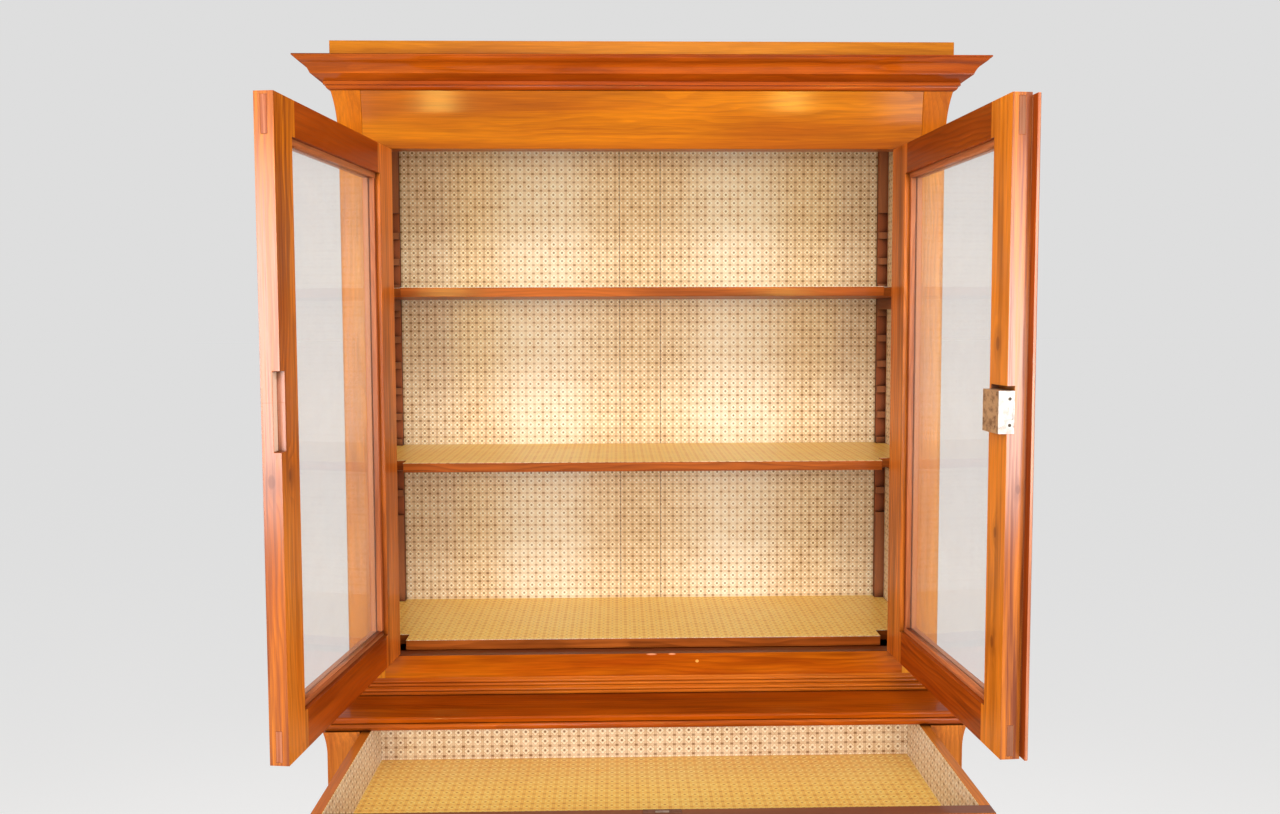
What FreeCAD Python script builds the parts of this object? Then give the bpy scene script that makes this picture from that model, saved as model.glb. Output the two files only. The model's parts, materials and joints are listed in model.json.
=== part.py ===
import FreeCAD, Part
import math
import os
import Sketcher

# A two-body hutch cabinet: a glazed case on a deeper base with a drawer and two framed doors.
# Millimetres, +Z up, front towards -Y. The origin is on the floor at the middle of the base's footprint.
# The pieces stand as in use: the glazed doors open, the drawer pulled out, the lower doors closed.

SIZES = {
    # Whole cabinet
    "upper_width": 1200,
    "lower_overhang": 12,
    "lower_depth": 503,
    "upper_setback": 119,
    "base_height": 901.5,
    "sill_height": 78.5,
    "opening_height": 1014,
    "frieze_height": 111,
    "cornice_height": 56,
    "cap_rise": 39,
    # Case boards
    "post_width": 74,
    "base_post_width": 64,
    "front_depth": 34,
    "post_round": 9,
    "side_thickness": 20,
    "board_thickness": 20,
    "back_thickness": 12,
    "muntin_width": 95,
    # Crown and mouldings
    "frieze_flare": 10,
    "frieze_cove": 80,
    "corner_block_width": 48,
    "cornice_projection": 57,
    "cap_thickness": 20,
    "foot_moulding_height": 33,
    "foot_moulding_projection": 10,
    "lip_thickness": 10.5,
    "lip_round": 5,
    "torus_height": 17,
    "torus_projection": 12,
    "plinth_height": 110,
    "plinth_projection": 16,
    "plinth_bearer_width": 24,
    # Shelves, racks and lining paper
    "floor_rise": 14,
    "shelf_gap": 1,
    "shelf_thickness": 19,
    "shelf_end_gap": 2,
    "nose_inset": 85,
    "nose_reach": 40,
    "rack_width": 22,
    "rack_depth": 20,
    "rack_headroom": 2,
    "notch_depth": 10,
    "bearer_height": 25,
    "paper_thickness": 0.8,
    "paper_seam": 0.6,
    "loose_fit": 0.4,
    # Glazed doors
    "door_thickness": 30.6,
    "door_clearance": 2,
    "left_door_lift": 3,
    "hinge_gap": 2.2,
    "meeting_gap": 2.4,
    "hinge_stile_width": 81,
    "meeting_stile_width": 72,
    "top_rail_height": 66,
    "bottom_rail_height": 72,
    "rebate_width": 10,
    "rebate_depth": 21,
    "pane_thickness": 3,
    "bead_thickness": 9,
    "tenon_thickness": 10,
    "tenon_inset": 5,
    "left_door_angle": 96.4,
    "right_door_angle": 94.1,
    # Hinges
    "knuckle_radius": 5,
    "knuckle_proud": 1,
    "knuckle_height": 34,
    "hinge_leaf_thickness": 1.5,
    "hinge_leaf_width": 22,
    "hinge_pin_radius": 2.6,
    "hinge_pin_height": 22,
    "running_gap": 0.08,
    "knuckle_gap": 0.3,
    # Astragal and locks
    "astragal_thickness": 9,
    "astragal_overlap": 16,
    "astragal_seat": 14,
    "astragal_inset": 4,
    "lock_height": 65,
    "lock_length": 56,
    "lock_thickness": 25,
    "lock_sink": 12,
    "lock_centre_height": 537,
    "lock_wall": 2,
    "lock_plate_thickness": 2.5,
    "recess_headroom": 7,
    "bolt_thickness": 7,
    "bolt_height": 22,
    "bolt_length": 32,
    "bolt_throw": 10,
    "bolt_gap": 0.5,
    "bolt_notch_length": 16,
    "bolt_notch_rise": 66,
    "bolt_notch_drop": 55,
    # Drawer
    "drawer_height": 112,
    "belt_flare": 6,
    "belt_cove": 48,
    "drawer_gap": 1.5,
    "drawer_rear_room": 46,
    "drawer_front_thickness": 22,
    "drawer_side_thickness": 18,
    "drawer_back_thickness": 14,
    "drawer_bottom_thickness": 8,
    "drawer_bottom_rise": 10,
    "drawer_lock_width": 62,
    "drawer_lock_height": 46,
    "drawer_lock_thickness": 13,
    "drawer_lock_offset": 15,
    "drawer_rail_height": 28,
    "drawer_rail_depth": 60,
    "runner_width": 72,
    "guide_height": 26,
    # Lower doors
    "base_floor_thickness": 22,
    "base_shelf_height": 440,
    "base_shelf_setback": 80,
    "base_stile_width": 78,
    "base_top_rail_height": 78,
    "base_bottom_rail_height": 92,
    "base_lock_height": 330,
    "panel_field_rise": 7,
    "panel_field_margin": 14,
    "panel_field_bevel": 24,
}

# Shares of an outline's projection and height, from its foot to its top.
# A third entry rounds the edge to the next point: the arc's radius as a share of the height,
# positive where it swells and negative where it is hollow.
CORNICE_SHARES = [
    (0.03, 0, 0.15), (0.13, 0.15), (0.19, 0.15), (0.19, 0.27), (0.23, 0.29), (0.53, 0.46, -0.62),
    (0.77, 0.79), (0.81, 0.80, 0.36), (0.96, 0.95), (1, 0.95), (1, 1), (0, 1),
]
FOOT_SHARES = [
    (0.86, 0.01, 0.11), (0.84, 0.2), (0.74, 0.21, 0.11), (0.72, 0.4), (0.66, 0.41), (0.66, 0.49),
    (0.52, 0.5, 0.11), (0.48, 0.69), (0.32, 0.7, 0.11), (0.26, 0.89), (0.12, 0.92), (0, 1),
]
TORUS_SHARES = [(0.62, 0.04, 0.52), (0.62, 0.93), (0.4, 1), (0, 1)]
PLINTH_SHARES = [(1, 0), (1, 0.82), (0.82, 0.84, -0.2), (0.3, 0.96), (0.3, 1), (0, 1)]

# Heights of the hinges, as shares of the leaf that they carry.
GLASS_DOOR_HINGE_SHARES = (0.1, 0.5, 0.86)
BASE_DOOR_HINGE_SHARES = (0.14, 0.8)

# Places of the notches, as shares of the racks' length.
LOWEST_NOTCH_SHARE = 0.1892
NOTCH_PITCH_SHARE = 0.0551
NOTCH_HEIGHT_SHARE = 0.0413

# How far the drawer is pulled out, as a share of its inner length.
DRAWER_PULL_SHARE = 0.8533

# Heights of the tenons, as shares of their rails.
TOP_TENON_SHARE = 0.864
BOTTOM_TENON_SHARE = 0.674

NOTCH_COUNT = 12
SHELF_NOTCHES = (2, 8)
LEFT = -1
RIGHT = 1

# Which way an arc of an outline bends.
HOLLOW = -1
SWELLING = 1


class Size:
    """A length as a number now, with the expression that keeps it tied to the sheet."""

    def __init__(self, number, text):
        self.number = number
        self.text = text

    def joined(self, sign, other, number):
        return Size(number, "(%s %s %s)" % (self.text, sign, other.text))

    def __add__(self, other):
        other = as_size(other)
        return self.joined("+", other, self.number + other.number)

    def __sub__(self, other):
        other = as_size(other)
        return self.joined("-", other, self.number - other.number)

    def __mul__(self, other):
        other = as_size(other)
        return self.joined("*", other, self.number * other.number)

    def __truediv__(self, other):
        other = as_size(other)
        return self.joined("/", other, self.number / other.number)

    def __radd__(self, other):
        return as_size(other) + self

    def __rsub__(self, other):
        return as_size(other) - self

    def __rmul__(self, other):
        return as_size(other) * self

    def __neg__(self):
        return Size(-self.number, "(-1 * %s)" % self.text)


def as_size(value):
    return value if isinstance(value, Size) else Size(value, repr(value))


def make_sheet(document):
    sheet = document.addObject("Spreadsheet::Sheet", "Sizes")
    for row, (alias, number) in enumerate(SIZES.items(), start=1):
        sheet.set("A%d" % row, alias)
        sheet.set("B%d" % row, str(number))
        sheet.setAlias("B%d" % row, alias)
    document.recompute()
    return {alias: Size(number, "Sizes." + alias) for alias, number in SIZES.items()}


doc = FreeCAD.newDocument("HutchCabinet")
size = make_sheet(doc)
nodes = {}


def bind(item, path, value):
    item.setExpression(path, as_size(value).text)


def node(label, item):
    """Give a finished piece its own label and keep it for export."""
    item.Label = label
    nodes[label] = item
    return item


def place(item, x, y, z):
    for axis, value in zip("xyz", (x, y, z)):
        bind(item, "Placement.Base." + axis, value)
    return item


def box(low, high):
    item = doc.addObject("Part::Box", "Board")
    for name, start, end in zip(("Length", "Width", "Height"), low, high):
        bind(item, name, as_size(end) - start)
    return place(item, *low)


def both_sides(low, high):
    """A board and its mirror image about the middle plane."""
    return [box(low, high), box((-high[0], low[1], low[2]), (-low[0], high[1], high[2]))]


def group(items):
    item = doc.addObject("Part::Compound", "Group")
    item.Links = items
    return item


def cut(base, tools):
    item = doc.addObject("Part::Cut", "Cut")
    item.Base = base
    item.Tool = tools[0] if len(tools) == 1 else group(tools)
    return item


def fuse(items):
    item = doc.addObject("Part::MultiFuse", "Joined")
    item.Shapes = items
    return item


def common(first, second):
    item = doc.addObject("Part::Common", "Common")
    item.Base = first
    item.Tool = second
    return item


def mirrored(source):
    item = doc.addObject("Part::Mirroring", "Mirrored")
    item.Source = source
    item.Normal = FreeCAD.Vector(1, 0, 0)
    return item


def cylinder(x, y, z, radius, height):
    item = doc.addObject("Part::Cylinder", "Round")
    bind(item, "Radius", radius)
    bind(item, "Height", height)
    return place(item, x, y, z)


def origin_plane(body, role):
    return next(item for item in body.Origin.OriginFeatures if item.Role == role)


def arc_between(start, end, radius, bend):
    """The shorter arc from start to end, with its centre to the left of the way for a positive bend."""
    chord = end - start
    left = FreeCAD.Vector(-chord.y, chord.x, 0).normalize()
    reach = math.sqrt(radius ** 2 - (chord.Length / 2) ** 2)
    centre = (start + end) / 2 + left * (bend * reach)
    return Part.Arc(start, centre - left * (bend * radius), end)


def name_datum(sketch, constraint, name, value):
    index = sketch.addConstraint(constraint)
    sketch.renameConstraint(index, name)
    sketch.setExpression("Constraints." + name, as_size(value).text)


def outline(body, role, offset, corners):
    """A closed sketch: each corner is (u, v), or (u, v, radius, bend) where an arc leads to the next."""
    sketch = body.newObject("Sketcher::SketchObject", "Outline")
    sketch.AttachmentSupport = [(origin_plane(body, role), "")]
    sketch.MapMode = "FlatFace"
    bind(sketch, "AttachmentOffset.Base.z", offset)
    points = [FreeCAD.Vector(as_size(c[0]).number, as_size(c[1]).number, 0) for c in corners]
    ends = []
    for index, corner in enumerate(corners):
        start = points[index]
        end = points[(index + 1) % len(points)]
        if len(corner) == 2:
            sketch.addGeometry(Part.LineSegment(start, end))
            ends.append((1, 2))
        else:
            sketch.addGeometry(arc_between(start, end, corner[2].number, corner[3]))
            first = sketch.getPoint(index, 1)
            ends.append((1, 2) if first.distanceToPoint(start) < first.distanceToPoint(end) else (2, 1))
    for index, (_, tail) in enumerate(ends):
        follower = (index + 1) % len(ends)
        sketch.addConstraint(
            Sketcher.Constraint("Coincident", index, tail, follower, ends[follower][0]))
    for index, corner in enumerate(corners):
        at = points[index]
        begin = ends[index][0]
        across = Sketcher.Constraint("DistanceX", -1, 1, index, begin, at.x)
        name_datum(sketch, across, "u%d" % index, corner[0])
        upwards = Sketcher.Constraint("DistanceY", -1, 1, index, begin, at.y)
        name_datum(sketch, upwards, "v%d" % index, corner[1])
        if len(corner) > 2:
            radius = Sketcher.Constraint("Radius", index, corner[2].number)
            name_datum(sketch, radius, "r%d" % index, corner[2])
    return sketch


def prism(role, start, end, corners):
    """A padded outline: along X for YZ_Plane, along Y for XZ_Plane and along Z for XY_Plane."""
    body = doc.addObject("PartDesign::Body", "Body")
    along_y = role == "XZ_Plane"
    sketch = outline(body, role, -as_size(start) if along_y else start, corners)
    pad = body.newObject("PartDesign::Pad", "Pad")
    pad.Profile = sketch
    pad.Reversed = along_y
    bind(pad, "Length", as_size(end) - start)
    return body


def coved(height, cove, flare, depth):
    """Outline of a board whose face sweeps out at the top: (how far out, how high)."""
    radius = (cove * cove + flare * flare) / (2 * flare)
    return [(-depth, 0), (0, 0), (0, height - cove, radius, HOLLOW), (flare, height), (-depth, height)]


def facing_front(corners, y, z):
    """An outline of (out, up) turned to stand on a front plane, for a prism along X."""
    return [(y - c[0], z + c[1]) + ((c[2], -c[3]) if len(c) > 2 else ()) for c in corners]


def facing_right(corners, x, z):
    """The same on a right-hand plane, for a prism along Y."""
    return [(x + c[0], z + c[1]) + tuple(c[2:]) for c in corners]


def shared(shares, projection, height):
    """An outline from shares, with a straight back."""
    corners = [(0, 0)]
    for share in shares:
        corner = (share[0] * projection, share[1] * height)
        if len(share) > 2:
            corner += (abs(share[2]) * height, HOLLOW if share[2] < 0 else SWELLING)
        corners.append(corner)
    return corners


def mitred(shares, half, y_front, y_rear, z, projection, height):
    """A moulding round the front and both sides, in three lengths that meet at mitres."""
    corners = shared(shares, projection, height)
    out = half + projection
    y_out = y_front - projection
    front = common(
        prism("YZ_Plane", -out, out, facing_front(corners, y_front, z)),
        prism("XY_Plane", z, z + height,
              [(-half, y_front), (-out, y_out), (out, y_out), (half, y_front)]))
    right = common(
        prism("XZ_Plane", y_out, y_rear, facing_right(corners, half, z)),
        prism("XY_Plane", z, z + height,
              [(half, y_front), (out, y_out), (out, y_rear), (half, y_rear)]))
    return [front, right, mirrored(right)]


# Main planes
half_up = size["upper_width"] / 2
half_low = half_up + size["lower_overhang"]
y_low = -size["lower_depth"] / 2
y_back = size["lower_depth"] / 2
y_up = y_low + size["upper_setback"]
y_in = y_up + size["front_depth"]
y_low_in = y_low + size["front_depth"]
y_liner = y_back - size["back_thickness"]
ledge = size["base_height"]
sill = ledge + size["sill_height"]
head = sill + size["opening_height"]
frieze_top = head + size["frieze_height"]
cornice_top = frieze_top + size["cornice_height"]
cap_top = cornice_top + size["cap_rise"]
ceiling = frieze_top - size["board_thickness"]
floor_top = sill + size["floor_rise"]
y_shelf = y_in + size["rack_depth"] + size["shelf_gap"]
opening_half = half_up - size["post_width"]
inner_half = half_up - size["side_thickness"]
low_opening_half = half_low - size["base_post_width"]
low_inner_half = half_low - size["side_thickness"]
belt_top = ledge - size["lip_thickness"] - size["torus_height"]
belt_foot = belt_top - size["drawer_height"]
door_head = belt_foot - size["drawer_rail_height"]
base_floor_top = size["plinth_height"] + size["base_floor_thickness"]
paper = size["paper_thickness"]
rack_height = ceiling - size["rack_headroom"] - floor_top
y_drawer_in = y_low + size["drawer_front_thickness"]
y_drawer_back = y_liner - size["drawer_rear_room"] - size["drawer_back_thickness"]
drawer_pull = DRAWER_PULL_SHARE * (y_drawer_back - y_drawer_in)


def rounded_post(low, high):
    """A right-hand corner post with its outer front edge rounded off."""
    radius = size["post_round"]
    return prism("XY_Plane", low[2], high[2], [
        (low[0], low[1]), (high[0] - radius, low[1], radius, SWELLING), (high[0], low[1] + radius),
        (high[0], high[1]), (low[0], high[1])])


def coved_corner(low, high, cove, flare):
    """A right-hand corner block that sweeps out at the top towards the front and the side."""
    height = high[2] - low[2]
    front = prism("YZ_Plane", low[0], high[0] + flare,
                  facing_front(coved(height, cove, flare, high[1] - low[1]), low[1], low[2]))
    side = prism("XZ_Plane", low[1] - flare, high[1],
                 facing_right(coved(height, cove, flare, high[0] - low[0]), high[0], low[2]))
    return common(front, side)


def coved_side(low, high, cove, flare):
    """A right-hand side board whose outer face sweeps out at the top."""
    return prism("XZ_Plane", low[1], high[1],
                 facing_right(coved(high[2] - low[2], cove, flare, high[0] - low[0]), high[0], low[2]))


def with_mirror(item):
    return group([item, mirrored(item)])


def upper_case():
    board = size["board_thickness"]
    flare = size["frieze_flare"]
    block_in = half_up - size["corner_block_width"]
    node("upper_side_boards", group(both_sides((inner_half, y_in, ledge), (half_up, y_back, head))))
    post = rounded_post((opening_half, y_up, ledge), (half_up, y_in, head))
    node("upper_posts", with_mirror(cut(post, post_seats(glass_leaf(RIGHT), GLASS_DOOR_HINGE_SHARES))))
    node("upper_bottom_rail", box((-opening_half, y_up, ledge), (opening_half, y_in, sill)))
    node("upper_top_board", box((-inner_half, y_in, ceiling), (inner_half, y_liner, frieze_top)))
    node("upper_bottom_board",
         nosed_board(inner_half, 0, y_liner, floor_top - board, board, False))
    half_muntin = size["muntin_width"] / 2
    node("upper_back_boards", group(
        both_sides((half_muntin, y_liner, ledge), (inner_half, y_back, frieze_top))
        + [box((-half_muntin, y_liner, ledge), (half_muntin, y_back, frieze_top))]))
    front_frieze = coved(size["frieze_height"], size["frieze_cove"], flare, size["front_depth"])
    node("frieze_front", prism("YZ_Plane", -block_in, block_in, facing_front(front_frieze, y_up, head)))
    node("frieze_corner_blocks", with_mirror(
        coved_corner((block_in, y_up, head), (half_up, y_in, frieze_top), size["frieze_cove"], flare)))
    node("frieze_side_boards", with_mirror(
        coved_side((inner_half, y_in, head), (half_up, y_back, frieze_top), size["frieze_cove"], flare)))
    crown_half = half_up + flare
    y_crown = y_up - flare
    y_cap_in = y_crown + size["cap_thickness"]
    node("cornice_moulding", group(mitred(
        CORNICE_SHARES, crown_half, y_crown, y_back, frieze_top,
        size["cornice_projection"], size["cornice_height"])))
    node("cap_boards", group(
        [box((-crown_half, y_crown, frieze_top), (crown_half, y_cap_in, cap_top))]
        + both_sides((crown_half - size["cap_thickness"], y_cap_in, frieze_top),
                     (crown_half, y_back, cap_top))))
    node("upper_base_moulding", group(mitred(
        FOOT_SHARES, half_up, y_up, y_back, ledge,
        size["foot_moulding_projection"], size["foot_moulding_height"])))


def nosed_board(half, y_trim, y_rear, z, thickness, round_racks):
    """A board with its front corners cut back beside a nose, and its rear corners cut round the racks."""
    y_front = y_shelf + y_trim
    nose = inner_half - size["nose_inset"]
    y_step = y_shelf + size["nose_reach"]
    corners = both_sides((nose, y_front, z), (half, y_step, z + thickness))
    if round_racks:
        rack_in = inner_half - size["rack_width"] - size["loose_fit"]
        y_rack = y_liner - size["rack_depth"] - size["loose_fit"]
        corners += both_sides((rack_in, y_rack, z), (half, y_rear, z + thickness))
    return cut(box((-half, y_front, z), (half, y_rear, z + thickness)), corners)


def rack(y_face, y_wall, teeth):
    """A right-hand toothed strip: its notches open towards the other strip on the same side."""
    rack_in = inner_half - size["rack_width"]
    body = prism("XY_Plane", floor_top, floor_top + rack_height, [
        (rack_in, y_face), (inner_half, y_face), (inner_half, y_wall), (rack_in, y_wall)])
    y_tooth = y_face + teeth * size["notch_depth"]
    notch_foot = floor_top + LOWEST_NOTCH_SHARE * rack_height
    notch_head = notch_foot + NOTCH_HEIGHT_SHARE * rack_height
    sketch = outline(body, "YZ_Plane", rack_in, [
        (y_face, notch_foot), (y_tooth, notch_foot), (y_tooth, notch_head), (y_face, notch_head)])
    pocket = body.newObject("PartDesign::Pocket", "Notch")
    pocket.Profile = sketch
    pocket.Reversed = True
    bind(pocket, "Length", size["rack_width"])
    pattern = body.newObject("PartDesign::LinearPattern", "Notches")
    pattern.Originals = [pocket]
    pattern.Direction = (origin_plane(body, "Z_Axis"), [""])
    pattern.Occurrences = NOTCH_COUNT
    bind(pattern, "Length", (NOTCH_COUNT - 1) * NOTCH_PITCH_SHARE * rack_height)
    body.Tip = pattern
    return body


def shelves_and_racks():
    y_front_rack = y_in + size["rack_depth"]
    y_rear_rack = y_liner - size["rack_depth"]
    rack_in = inner_half - size["rack_width"]
    fit = size["loose_fit"]
    front_rack = rack(y_front_rack, y_in, LEFT)
    rear_rack = rack(y_rear_rack, y_liner, RIGHT)
    node("shelf_racks", group([front_rack, mirrored(front_rack), rear_rack, mirrored(rear_rack)]))

    bearers = []
    shelves = []
    sheets = []
    shelf_half = inner_half - size["shelf_end_gap"]
    y_shelf_rear = y_liner - paper - fit
    bearer_reach = size["notch_depth"] - fit
    for notch in SHELF_NOTCHES:
        bearer_foot = floor_top + (LOWEST_NOTCH_SHARE + notch * NOTCH_PITCH_SHARE) * rack_height
        shelf_foot = bearer_foot + size["bearer_height"]
        shelf_top = shelf_foot + size["shelf_thickness"]
        bearers += both_sides((rack_in, y_front_rack - bearer_reach, bearer_foot),
                              (inner_half - paper - fit, y_rear_rack + bearer_reach, shelf_foot))
        shelves.append(nosed_board(shelf_half, 0, y_shelf_rear, shelf_foot, size["shelf_thickness"], True))
        sheets.append(nosed_board(shelf_half, fit, y_shelf_rear, shelf_top, paper, True))
    node("shelf_bearers", group(bearers))
    node("glazed_shelves", group(shelves))

    sheets.append(nosed_board(shelf_half, fit, y_shelf_rear, floor_top, paper, True))
    half_muntin = size["muntin_width"] / 2
    seam = size["paper_seam"]
    y_sheet = y_liner - paper
    sheets += both_sides((half_muntin + seam, y_sheet, floor_top), (rack_in - fit, y_liner, ceiling))
    sheets.append(box((-half_muntin, y_sheet, floor_top), (half_muntin, y_liner, ceiling)))
    sheets += both_sides((inner_half - paper, y_front_rack + fit, floor_top + paper),
                         (inner_half, y_rear_rack - fit, ceiling))
    node("upper_lining_paper", group(sheets))


class Leaf:
    """A door in its own frame: the hinge line is the origin, and the leaf lies closed along X."""

    def __init__(self, side, half_opening, y_face, foot, top, angle, lift):
        self.side = side
        self.axis_x = half_opening - size["hinge_gap"] / 2
        self.axis_y = y_face - size["knuckle_proud"]
        self.angle = angle
        self.hinge_foot = foot
        self.foot = foot + lift
        self.top = top
        self.start = size["hinge_gap"] / 2
        self.end = self.axis_x - size["meeting_gap"] / 2
        self.front = size["knuckle_proud"]
        self.rear = size["knuckle_proud"] + size["door_thickness"]

    def box(self, low, high):
        """A box given by its distance from the hinge line, depth and height."""
        if self.side == LEFT:
            return box(low, high)
        return box((-high[0], low[1], low[2]), (-low[0], high[1], high[2]))

    def hinge_heights(self, hinge_shares):
        """Where the hinges start, the same on both leaves of a pair."""
        return [self.hinge_foot + share * (self.top - self.hinge_foot) for share in hinge_shares]

    def swing(self, item):
        """Hang a piece on the hinge line and open it by the leaf's angle."""
        item.Placement = FreeCAD.Placement(
            FreeCAD.Vector(), FreeCAD.Rotation(FreeCAD.Vector(0, 0, self.side), self.angle.number))
        bind(item, "Placement.Rotation.Angle", self.angle)
        return place(item, self.side * self.axis_x, self.axis_y, 0)

    def node(self, label, item):
        return node(label, self.swing(item))


def glass_leaf(side):
    angle = size["left_door_angle"] if side == LEFT else size["right_door_angle"]
    clear = size["door_clearance"]
    lift = size["left_door_lift"] if side == LEFT else 0
    return Leaf(side, opening_half, y_up, sill + clear, head - clear, angle, lift)


def base_leaf(side):
    clear = size["door_clearance"]
    return Leaf(side, low_opening_half, y_low, base_floor_top + clear, door_head - clear, as_size(0), 0)


def hinge_seats(leaf, hinge_shares):
    """Round recesses for the knuckles, in the leaf's own frame."""
    fit = size["loose_fit"]
    radius = size["knuckle_radius"] + fit
    height = size["knuckle_height"] * 2 + size["knuckle_gap"] + fit * 2
    return [cylinder(0, 0, foot - fit, radius, height) for foot in leaf.hinge_heights(hinge_shares)]


def post_seats(leaf, hinge_shares):
    """The same recesses where they meet the post."""
    seats = hinge_seats(leaf, hinge_shares)
    for seat in seats:
        bind(seat, "Placement.Base.x", leaf.side * leaf.axis_x)
        bind(seat, "Placement.Base.y", leaf.axis_y)
    return seats


def frame_pieces(leaf, hinge_width, meeting_width, top_height, bottom_height, pockets, hinge_shares):
    """Stiles mortised right through, rails with tenons, and a rebate all round on the inner side."""
    rebate = size["rebate_width"]
    y_rebate = leaf.rear - size["rebate_depth"]
    y_tenon = leaf.front + (size["door_thickness"] - size["tenon_thickness"]) / 2
    y_tenon_rear = y_tenon + size["tenon_thickness"]
    inset = size["tenon_inset"]
    bottom_tenon = BOTTOM_TENON_SHARE * bottom_height
    top_tenon = TOP_TENON_SHARE * top_height
    rail_start = leaf.start + hinge_width
    rail_end = leaf.end - meeting_width
    bottom = (leaf.foot, leaf.foot + bottom_height, leaf.foot + inset, leaf.foot + inset + bottom_tenon)
    top = (leaf.top - top_height, leaf.top, leaf.top - inset - top_tenon, leaf.top - inset)

    def tenon_box(start, end, span):
        return leaf.box((start, y_tenon, span[2]), (end, y_tenon_rear, span[3]))

    def stile(start, end, rebate_start, rebate_end, extra):
        mortises = [tenon_box(start, end, span) for span in (bottom, top)]
        rebate_box = leaf.box((rebate_start, y_rebate, leaf.foot + bottom_height - rebate),
                              (rebate_end, leaf.rear, leaf.top - top_height + rebate))
        return cut(leaf.box((start, leaf.front, leaf.foot), (end, leaf.rear, leaf.top)),
                   mortises + [rebate_box] + extra)

    def rail(span, rebate_low, rebate_high):
        bar = fuse([leaf.box((rail_start, leaf.front, span[0]), (rail_end, leaf.rear, span[1])),
                    tenon_box(leaf.start, leaf.end, span)])
        return cut(bar, [leaf.box((rail_start - rebate, y_rebate, rebate_low),
                                  (rail_end + rebate, leaf.rear, rebate_high))])

    seats = hinge_seats(leaf, hinge_shares)
    hinge_stile = stile(leaf.start, rail_start, rail_start - rebate, rail_start, seats)
    meeting_stile = stile(rail_end, leaf.end, rail_end, rail_end + rebate, pockets)
    rails = [rail(bottom, bottom[1] - rebate, bottom[1]), rail(top, top[0], top[0] + rebate)]
    pane_low = (rail_start - rebate, y_rebate, bottom[1] - rebate)
    pane_high = (rail_end + rebate, y_rebate, top[0] + rebate)
    return hinge_stile, meeting_stile, rails, pane_low, pane_high


def hinge_halves(leaf, hinge_shares):
    """Lift-off hinges: a lower half with its pin on the post, an upper half with a bore on the leaf."""
    radius = size["knuckle_radius"]
    height = size["knuckle_height"]
    leaf_thickness = size["hinge_leaf_thickness"]
    fixed = []
    moving = []
    for foot in leaf.hinge_heights(hinge_shares):
        middle = foot + height
        upper_foot = middle + size["knuckle_gap"]
        post_leaf = leaf.box((-leaf.start, 0, foot),
                             (leaf_thickness - leaf.start, size["hinge_leaf_width"], middle))
        pin = cylinder(0, 0, middle, size["hinge_pin_radius"], size["hinge_pin_height"])
        lower = fuse([post_leaf, cylinder(0, 0, foot, radius, height), pin])
        fixed.append(place(lower, leaf.side * leaf.axis_x, leaf.axis_y, 0))
        door_leaf = leaf.box((leaf.start - leaf_thickness, 0, upper_foot),
                             (leaf.start, size["hinge_leaf_width"], upper_foot + height))
        upper = fuse([door_leaf, cylinder(0, 0, upper_foot, radius, height)])
        bore = cylinder(0, 0, upper_foot, size["hinge_pin_radius"] + size["running_gap"],
                        size["hinge_pin_height"])
        moving.append(cut(upper, [bore]))
    return fixed, moving


def lock_boxes(leaf, centre):
    """Places of a lock on a leaf: case, bolt, recess for the case, and room for the thrown bolt."""
    gap = size["bolt_gap"]
    half_height = size["lock_height"] / 2
    y_lock = leaf.rear - size["lock_sink"]
    y_lock_rear = y_lock + size["lock_thickness"]
    case_start = leaf.end - size["lock_length"]
    plate_start = leaf.end - size["lock_plate_thickness"]
    y_bolt = y_lock + size["lock_wall"] + gap
    y_bolt_rear = y_bolt + size["bolt_thickness"]
    half_bolt = size["bolt_height"] / 2
    bolt_start = leaf.end - gap - size["bolt_length"]
    pocket_start = leaf.end - size["bolt_throw"] - size["meeting_gap"]
    lock_foot = centre - half_height
    lock_top = centre + half_height
    return {
        "case": ((case_start, y_lock, lock_foot), (plate_start, y_lock_rear, lock_top)),
        "plate": ((plate_start, y_lock, lock_foot), (leaf.end, y_lock_rear, lock_top)),
        "bolt": ((bolt_start, y_bolt, centre - half_bolt), (leaf.end - gap, y_bolt_rear, centre + half_bolt)),
        "way": ((bolt_start - gap, y_bolt - gap, centre - half_bolt - gap),
                (leaf.end, y_bolt_rear + gap, centre + half_bolt + gap)),
        "recess": ((case_start, y_lock, lock_foot),
                   (leaf.end, leaf.rear, lock_top + size["recess_headroom"])),
        "pocket": ((pocket_start, y_bolt - gap, centre - half_bolt - gap),
                   (leaf.end, y_bolt_rear + gap, centre + half_bolt + gap)),
        "notch": ((leaf.end - size["bolt_notch_length"], y_lock, centre - size["bolt_notch_drop"]),
                  (leaf.end, leaf.rear, centre + size["bolt_notch_rise"])),
    }


def astragal(leaf):
    """A half-round strip on the outer face of the right leaf that covers the meeting gap."""
    seat = leaf.end - size["astragal_seat"]
    tip = leaf.end + size["astragal_overlap"]
    thickness = size["astragal_thickness"]
    y_face = leaf.front - thickness
    y_step = leaf.front - size["loose_fit"]
    y_edge = leaf.front - thickness / 2
    radius = thickness * 2
    inset = size["astragal_inset"]
    return prism("XY_Plane", leaf.foot + inset, leaf.top - inset, [
        (-seat, leaf.front), (-leaf.end, leaf.front), (-leaf.end, y_step), (-tip, y_step),
        (-tip, y_edge, radius, SWELLING), (-(seat + tip) / 2, y_face, radius, SWELLING), (-seat, y_edge)])


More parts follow.
